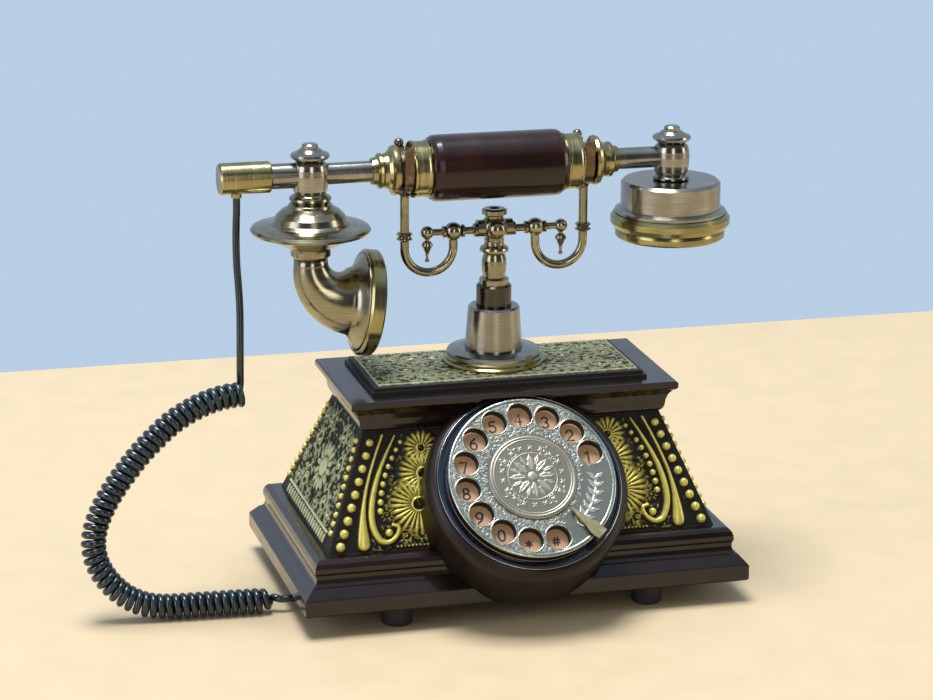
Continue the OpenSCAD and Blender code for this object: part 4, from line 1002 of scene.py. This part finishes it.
# Half the width of a stroke, and how thick the ink lies
STROKE = 0.45
INK_THICK = 0.09


def inked(characters):
    """Flat strokes with rounded ends; characters are (text, u, v)."""
    points, faces, count = [], [], 0
    ring = np.linspace(0, TAU, 12, endpoint=False)
    for text, cu, cv in characters:
        for stroke in CHARACTERS[text]:
            p = np.array(stroke, float) + (cu, cv)
            d = np.gradient(p, axis=0)
            d /= np.linalg.norm(d, axis=1)[:, None]
            side = np.stack([-d[:, 1], d[:, 0]], 1) * STROKE
            p[0] -= d[0] * 0.01
            a, b = p + side, p - side
            rows = np.stack([
                np.c_[a, np.zeros(len(p))], np.c_[a, np.full(len(p), INK_THICK)],
                np.c_[b, np.full(len(p), INK_THICK)], np.c_[b, np.zeros(len(p))],
            ], 1)
            points.append(rows.reshape(-1, 3))
            faces.append(grid_faces(len(p), 4, wrap_columns=True) + count)
            count += 4 * len(p)
            for end in (p[0], p[-1]):
                dot = np.array([
                    [end[0] + STROKE * s * math.cos(t), end[1] + STROKE * s * math.sin(t), z]
                    for s, z in ((1, 0), (1, INK_THICK), (0.02, INK_THICK)) for t in ring
                ])
                points.append(dot)
                faces.append(grid_faces(3, 12, wrap_columns=True) + count)
                count += len(dot)
    return np.vstack(points), np.vstack(faces)


digit_points, digit_faces = inked((text, *at) for text, at in zip(LABELS, hole_centres))
digit_points[:, 2] += CARD_TOP
piece("card_numbers", dial_place(digit_points), digit_faces, digit_ink, "base",
      flat=True)


# A black ring on the card's rim under the wheel's edge, a painted shadow of the wheel, and a
# pewter ring where the bezel meets the drum's floor, standing in for the fine highlight on the
# bezel's edge
SHADOW_RING_IN, SHADOW_RING_OUT = 39.2, 41.4
BEZEL_R = 45.6
BEZEL_HIGHLIGHT_R = 0.35
shadow_ring, faces = lathe([
    (SHADOW_RING_IN, CARD_TOP + 0.04), (SHADOW_RING_IN, CARD_TOP - 0.2), (SHADOW_RING_OUT, CARD_TOP - 0.2),
    (SHADOW_RING_OUT, CARD_TOP + 0.04),
], 120)
piece("card_shadow_ring", dial_place(shadow_ring), faces, black_resin_and_shadow, "base", flat=True)
# A pewter ring that stands in for the fine highlight along the bezel's edge
line, faces = lathe([
    (BEZEL_R + BEZEL_HIGHLIGHT_R * math.cos(a), CARD_TOP - 0.25 + BEZEL_HIGHLIGHT_R * math.sin(a))
    for a in np.linspace(0, TAU, 8, endpoint=False)
], 140)
piece("bezel_highlight_ring", dial_place(line), faces, pewter_z, "base")


# ---- Horn ----

# The bend's radius and centre, how far its mouth tips down, the flare's length and the wall
HORN_BEND = 20.0
HORN_CENTRE = np.array([-73.0, COLUMN_Y, 168.0])
HORN_LEAN = math.radians(8)
HORN_FLARE = 7.0
HORN_WALL = 1.6


def horn_route():
    """The bend's centreline from inside the brim to the rim, with the radius at each point."""
    last = math.pi / 2 - HORN_LEAN
    route, radii = [HORN_CENTRE + (-HORN_BEND, 0, 3.6)], [8.4]
    for turn in np.linspace(0, last, 34):
        route.append(HORN_CENTRE - HORN_BEND * np.array([math.cos(turn), 0, math.sin(turn)]))
        radii.append(8.5 + 8 * (turn / last) ** 1.2)
    out, foot = np.array([math.cos(HORN_LEAN), 0, -math.sin(HORN_LEAN)]), route[-1]
    for share in np.linspace(0.1, 1, 10):
        route.append(foot + share * HORN_FLARE * out)
        radii.append(16.5 + 8.15 * share * share)
    return np.array(route), np.array(radii)


def closed_wall(route, radii, wall, sides):
    """A tube with an inner and an outer skin, joined at both ends."""
    outer, _ = tube(route, radii, sides)
    inner, _ = tube(route, radii - wall, sides)
    inner = inner.reshape(len(route), sides, 3)[::-1].reshape(-1, 3)
    faces = grid_faces(2 * len(route), sides, wrap_rows=True, wrap_columns=True)
    return np.vstack([outer, inner]), faces


horn_line, horn_radii = horn_route()
horn_points, horn_faces = closed_wall(horn_line, horn_radii, HORN_WALL, 80)
smooth_horn = piece("smooth_horn", horn_points, horn_faces, antique_z, "handset")
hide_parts("mouthpiece_horn")


# ---- Curly cord ----

# The lead, the curl and the tail follow the points of the CAD's own cord solids. Only the
# lead's last two points differ: there it swings out to meet the first turn along its side.
CORD_DIA = 3.7
CURL_DIA = 12.8
TURN_PITCH = 3.95
LEAD = [
    (-129.5, 2.5, 203.2), (-129.5, 2.5, 197), (-129.9, 2.2, 189), (-130.2, 1.4, 180),
    (-130.2, 0.4, 170), (-129.8, -1, 160), (-129.6, -2.4, 150), (-129.8, -3.8, 140),
    (-130.2, -5.2, 130), (-130.3, -4.9, 120), (-130.1, -3.7, 112),
]
CURL = [
    (-130, -8, 107), (-139, -9, 106.5), (-148, -10, 104.5), (-157, -11, 101),
    (-166, -12, 96), (-174, -13, 89.5), (-182, -14, 82), (-189, -15, 74), (-196, -16, 65),
    (-201, -17, 57), (-205, -18, 48), (-206.5, -19, 39), (-205, -20, 30),
    (-200.5, -21, 21.5), (-193.5, -22, 14), (-185, -23, 9), (-176, -24, 6.8),
    (-166, -25, 6.5), (-156, -25.6, 6.5), (-146, -26.2, 6.5), (-136, -26.8, 6.5),
    (-126, -27.4, 6.5), (-115, -28, 6.5),
]
TAIL = [(-113, -28, 6.5), (-110, -28, 6.5), (-106.5, -28, 6.5)]
# Over this length before the plug the last turn opens out, towards this pitch
RUN_OUT = 12.0
RUN_OUT_PITCH = 24.0


def curly_route():
    """One centreline: down the lead, round every turn of the curl and in at the plug. The lead
    meets the first turn along its side, and the last turn opens out into the tail."""
    core = smooth_route(CURL, 0.25)
    step = route_length(core) / (len(core) - 1)
    run = np.arange(len(core)) * step
    _, u, v = headings(core)
    left = np.clip((run[-1] - run) / RUN_OUT, 0, 1)
    left = left * left * (3 - 2 * left)
    radius = (CURL_DIA - CORD_DIA) / 2 * left
    rate = TAU * step * (left / TURN_PITCH + (1 - left) / RUN_OUT_PITCH)
    angle = np.cumsum(rate) - rate[0] - math.pi / 2
    coil = core + radius[:, None] * (np.cos(angle)[:, None] * u + np.sin(angle)[:, None] * v)
    return smooth_route(np.vstack([smooth_route(LEAD, 2.0), coil, TAIL]), 1.6)


cord_line = curly_route()
cord_points, cord_faces = tube(cord_line, CORD_DIA / 2, 10)
curly_cord = piece("curly_cord", cord_points, cord_faces, cord_sheath, None)
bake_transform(curly_cord)
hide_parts("cord_lead", "cord_curl", "cord_tail")


# ---- Floor, light and camera ----

# Softboxes: (name, turn about Z from the front in degrees, height of the middle, distance,
# width, height, power, tint), each facing the object
SOFTBOXES = [
    ("left_window", -70, 800, 2530, 1230, 1980, 26.6, "#f2f5ff"),
    ("front_strip", -3, 1020, 2860, 660, 1980, 15.5, "#fff6ea"),
    ("right_strip", 73, 800, 2530, 570, 1760, 14.5, "#fff3e4"),
]
LAMPS_AIM = (0, 0, 100)
# The panel overhead: its name and place, then as above
CEILING = ("ceiling_panel", -330, 130, 2960, 1540, 1140, 145.0, "#f6f6ff")
# The floor ends a little behind the object, like a table's edge in front of a wall
FLOOR_REACH = 3000
FLOOR_BACK = 430


def lamp_panel(name, place, wide, tall, power, tint):
    """A soft panel of light at a place, facing the middle of the object."""
    lamp = bpy.data.lights.new(name, "AREA")
    lamp.shape = "RECTANGLE"
    lamp.size, lamp.size_y = wide * MM, tall * MM
    lamp.energy = power
    lamp.color = srgb(tint)[:3]
    holder = bpy.data.objects.new(name, lamp)
    holder.location = Vector(place) * MM
    aim = Vector(LAMPS_AIM) - Vector(place)
    holder.rotation_mode = "QUATERNION"
    holder.rotation_quaternion = aim.to_track_quat("-Z", "Y")
    holder.visible_camera = False
    bpy.context.scene.collection.objects.link(holder)


def studio():
    """A pale floor and wall, and soft panels of light round the object."""
    # Matt paper: one even pale tone
    floor_material = paint("floor_paper", "#bfac88", "#bcaa86", 0.6, grain=16.7, relief=0.01)
    corners = [(-FLOOR_REACH, -FLOOR_REACH, 0), (FLOOR_REACH, -FLOOR_REACH, 0),
               (FLOOR_REACH, FLOOR_BACK, 0), (-FLOOR_REACH, FLOOR_BACK, 0)]
    floor = piece("floor", corners, [(0, 1, 2, 3)], floor_material, None)
    world = bpy.data.worlds.new("pale_room")
    bpy.context.scene.world = world
    world.use_nodes = True
    tree = world.node_tree
    tree.nodes.clear()
    # pale wall behind and above, a darker room in front
    where = add(tree, "TexCoord")
    parts = add(tree, "SeparateXYZ", links={0: where.outputs["Generated"]})
    height = add(tree, "Math", {1: 0.9}, {0: parts.outputs["Z"]}, operation="MULTIPLY")
    lean = add(tree, "Math", {}, {0: parts.outputs["Y"], 1: height},
               operation="ADD")
    glow = add(tree, "MapRange", {"From Min": -0.25, "From Max": 0.45, "To Min": 0.1,
               "To Max": 0.8}, {"Value": lean}, interpolation_type="SMOOTHSTEP")
    room = add(tree, "Background", {"Color": srgb("#c0d2e6")},
               {"Strength": glow})
    wall = add(tree, "Background", {"Color": srgb("#bdd3ea"), "Strength": 0.95})
    seen = add(tree, "LightPath")
    both = add(tree, "MixShader", links={
        "Fac": seen.outputs["Is Camera Ray"], 1: room, 2: wall})
    add(tree, "OutputWorld", links={"Surface": both})
    for name, turn, height, away, wide, tall, power, tint in SOFTBOXES:
        turn = math.radians(turn)
        place = (away * math.sin(turn), -away * math.cos(turn), height)
        lamp_panel(name, place, wide, tall, power, tint)
    name, x, y, z, wide, tall, power, tint = CEILING
    lamp_panel(name, (x, y, z), wide, tall, power, tint)


# Where the camera stands in mm, its turn, its tilt down and its roll in degrees, and its lens
CAMERA_PLACE = (-410.4, -1492.7, 553.6)
CAMERA_TURNS = (14.85, 15.7, 0.28)
CAMERA_LENS = 124.05


def desk_camera():
    place = Vector(CAMERA_PLACE) * MM
    yaw, pitch, roll = (math.radians(a) for a in CAMERA_TURNS)
    ahead = Vector((math.sin(yaw) * math.cos(pitch), math.cos(yaw) * math.cos(pitch),
                    -math.sin(pitch)))
    right = Vector((math.cos(yaw), -math.sin(yaw), 0))
    up = right.cross(ahead)
    right, up = (right * math.cos(roll) + up * math.sin(roll),
                 up * math.cos(roll) - right * math.sin(roll))
    lens = bpy.data.cameras.new("desk_camera")
    lens.lens = CAMERA_LENS
    lens.sensor_width = 36
    lens.clip_start, lens.clip_end = 0.05, 20
    holder = bpy.data.objects.new("desk_camera", lens)
    holder.matrix_world = Matrix((
        (right.x, up.x, -ahead.x, place.x), (right.y, up.y, -ahead.y, place.y),
        (right.z, up.z, -ahead.z, place.z), (0, 0, 0, 1),
    ))
    bpy.context.scene.collection.objects.link(holder)
    bpy.context.scene.camera = holder


studio()
desk_camera()
bpy.context.scene.view_settings.view_transform = "Standard"
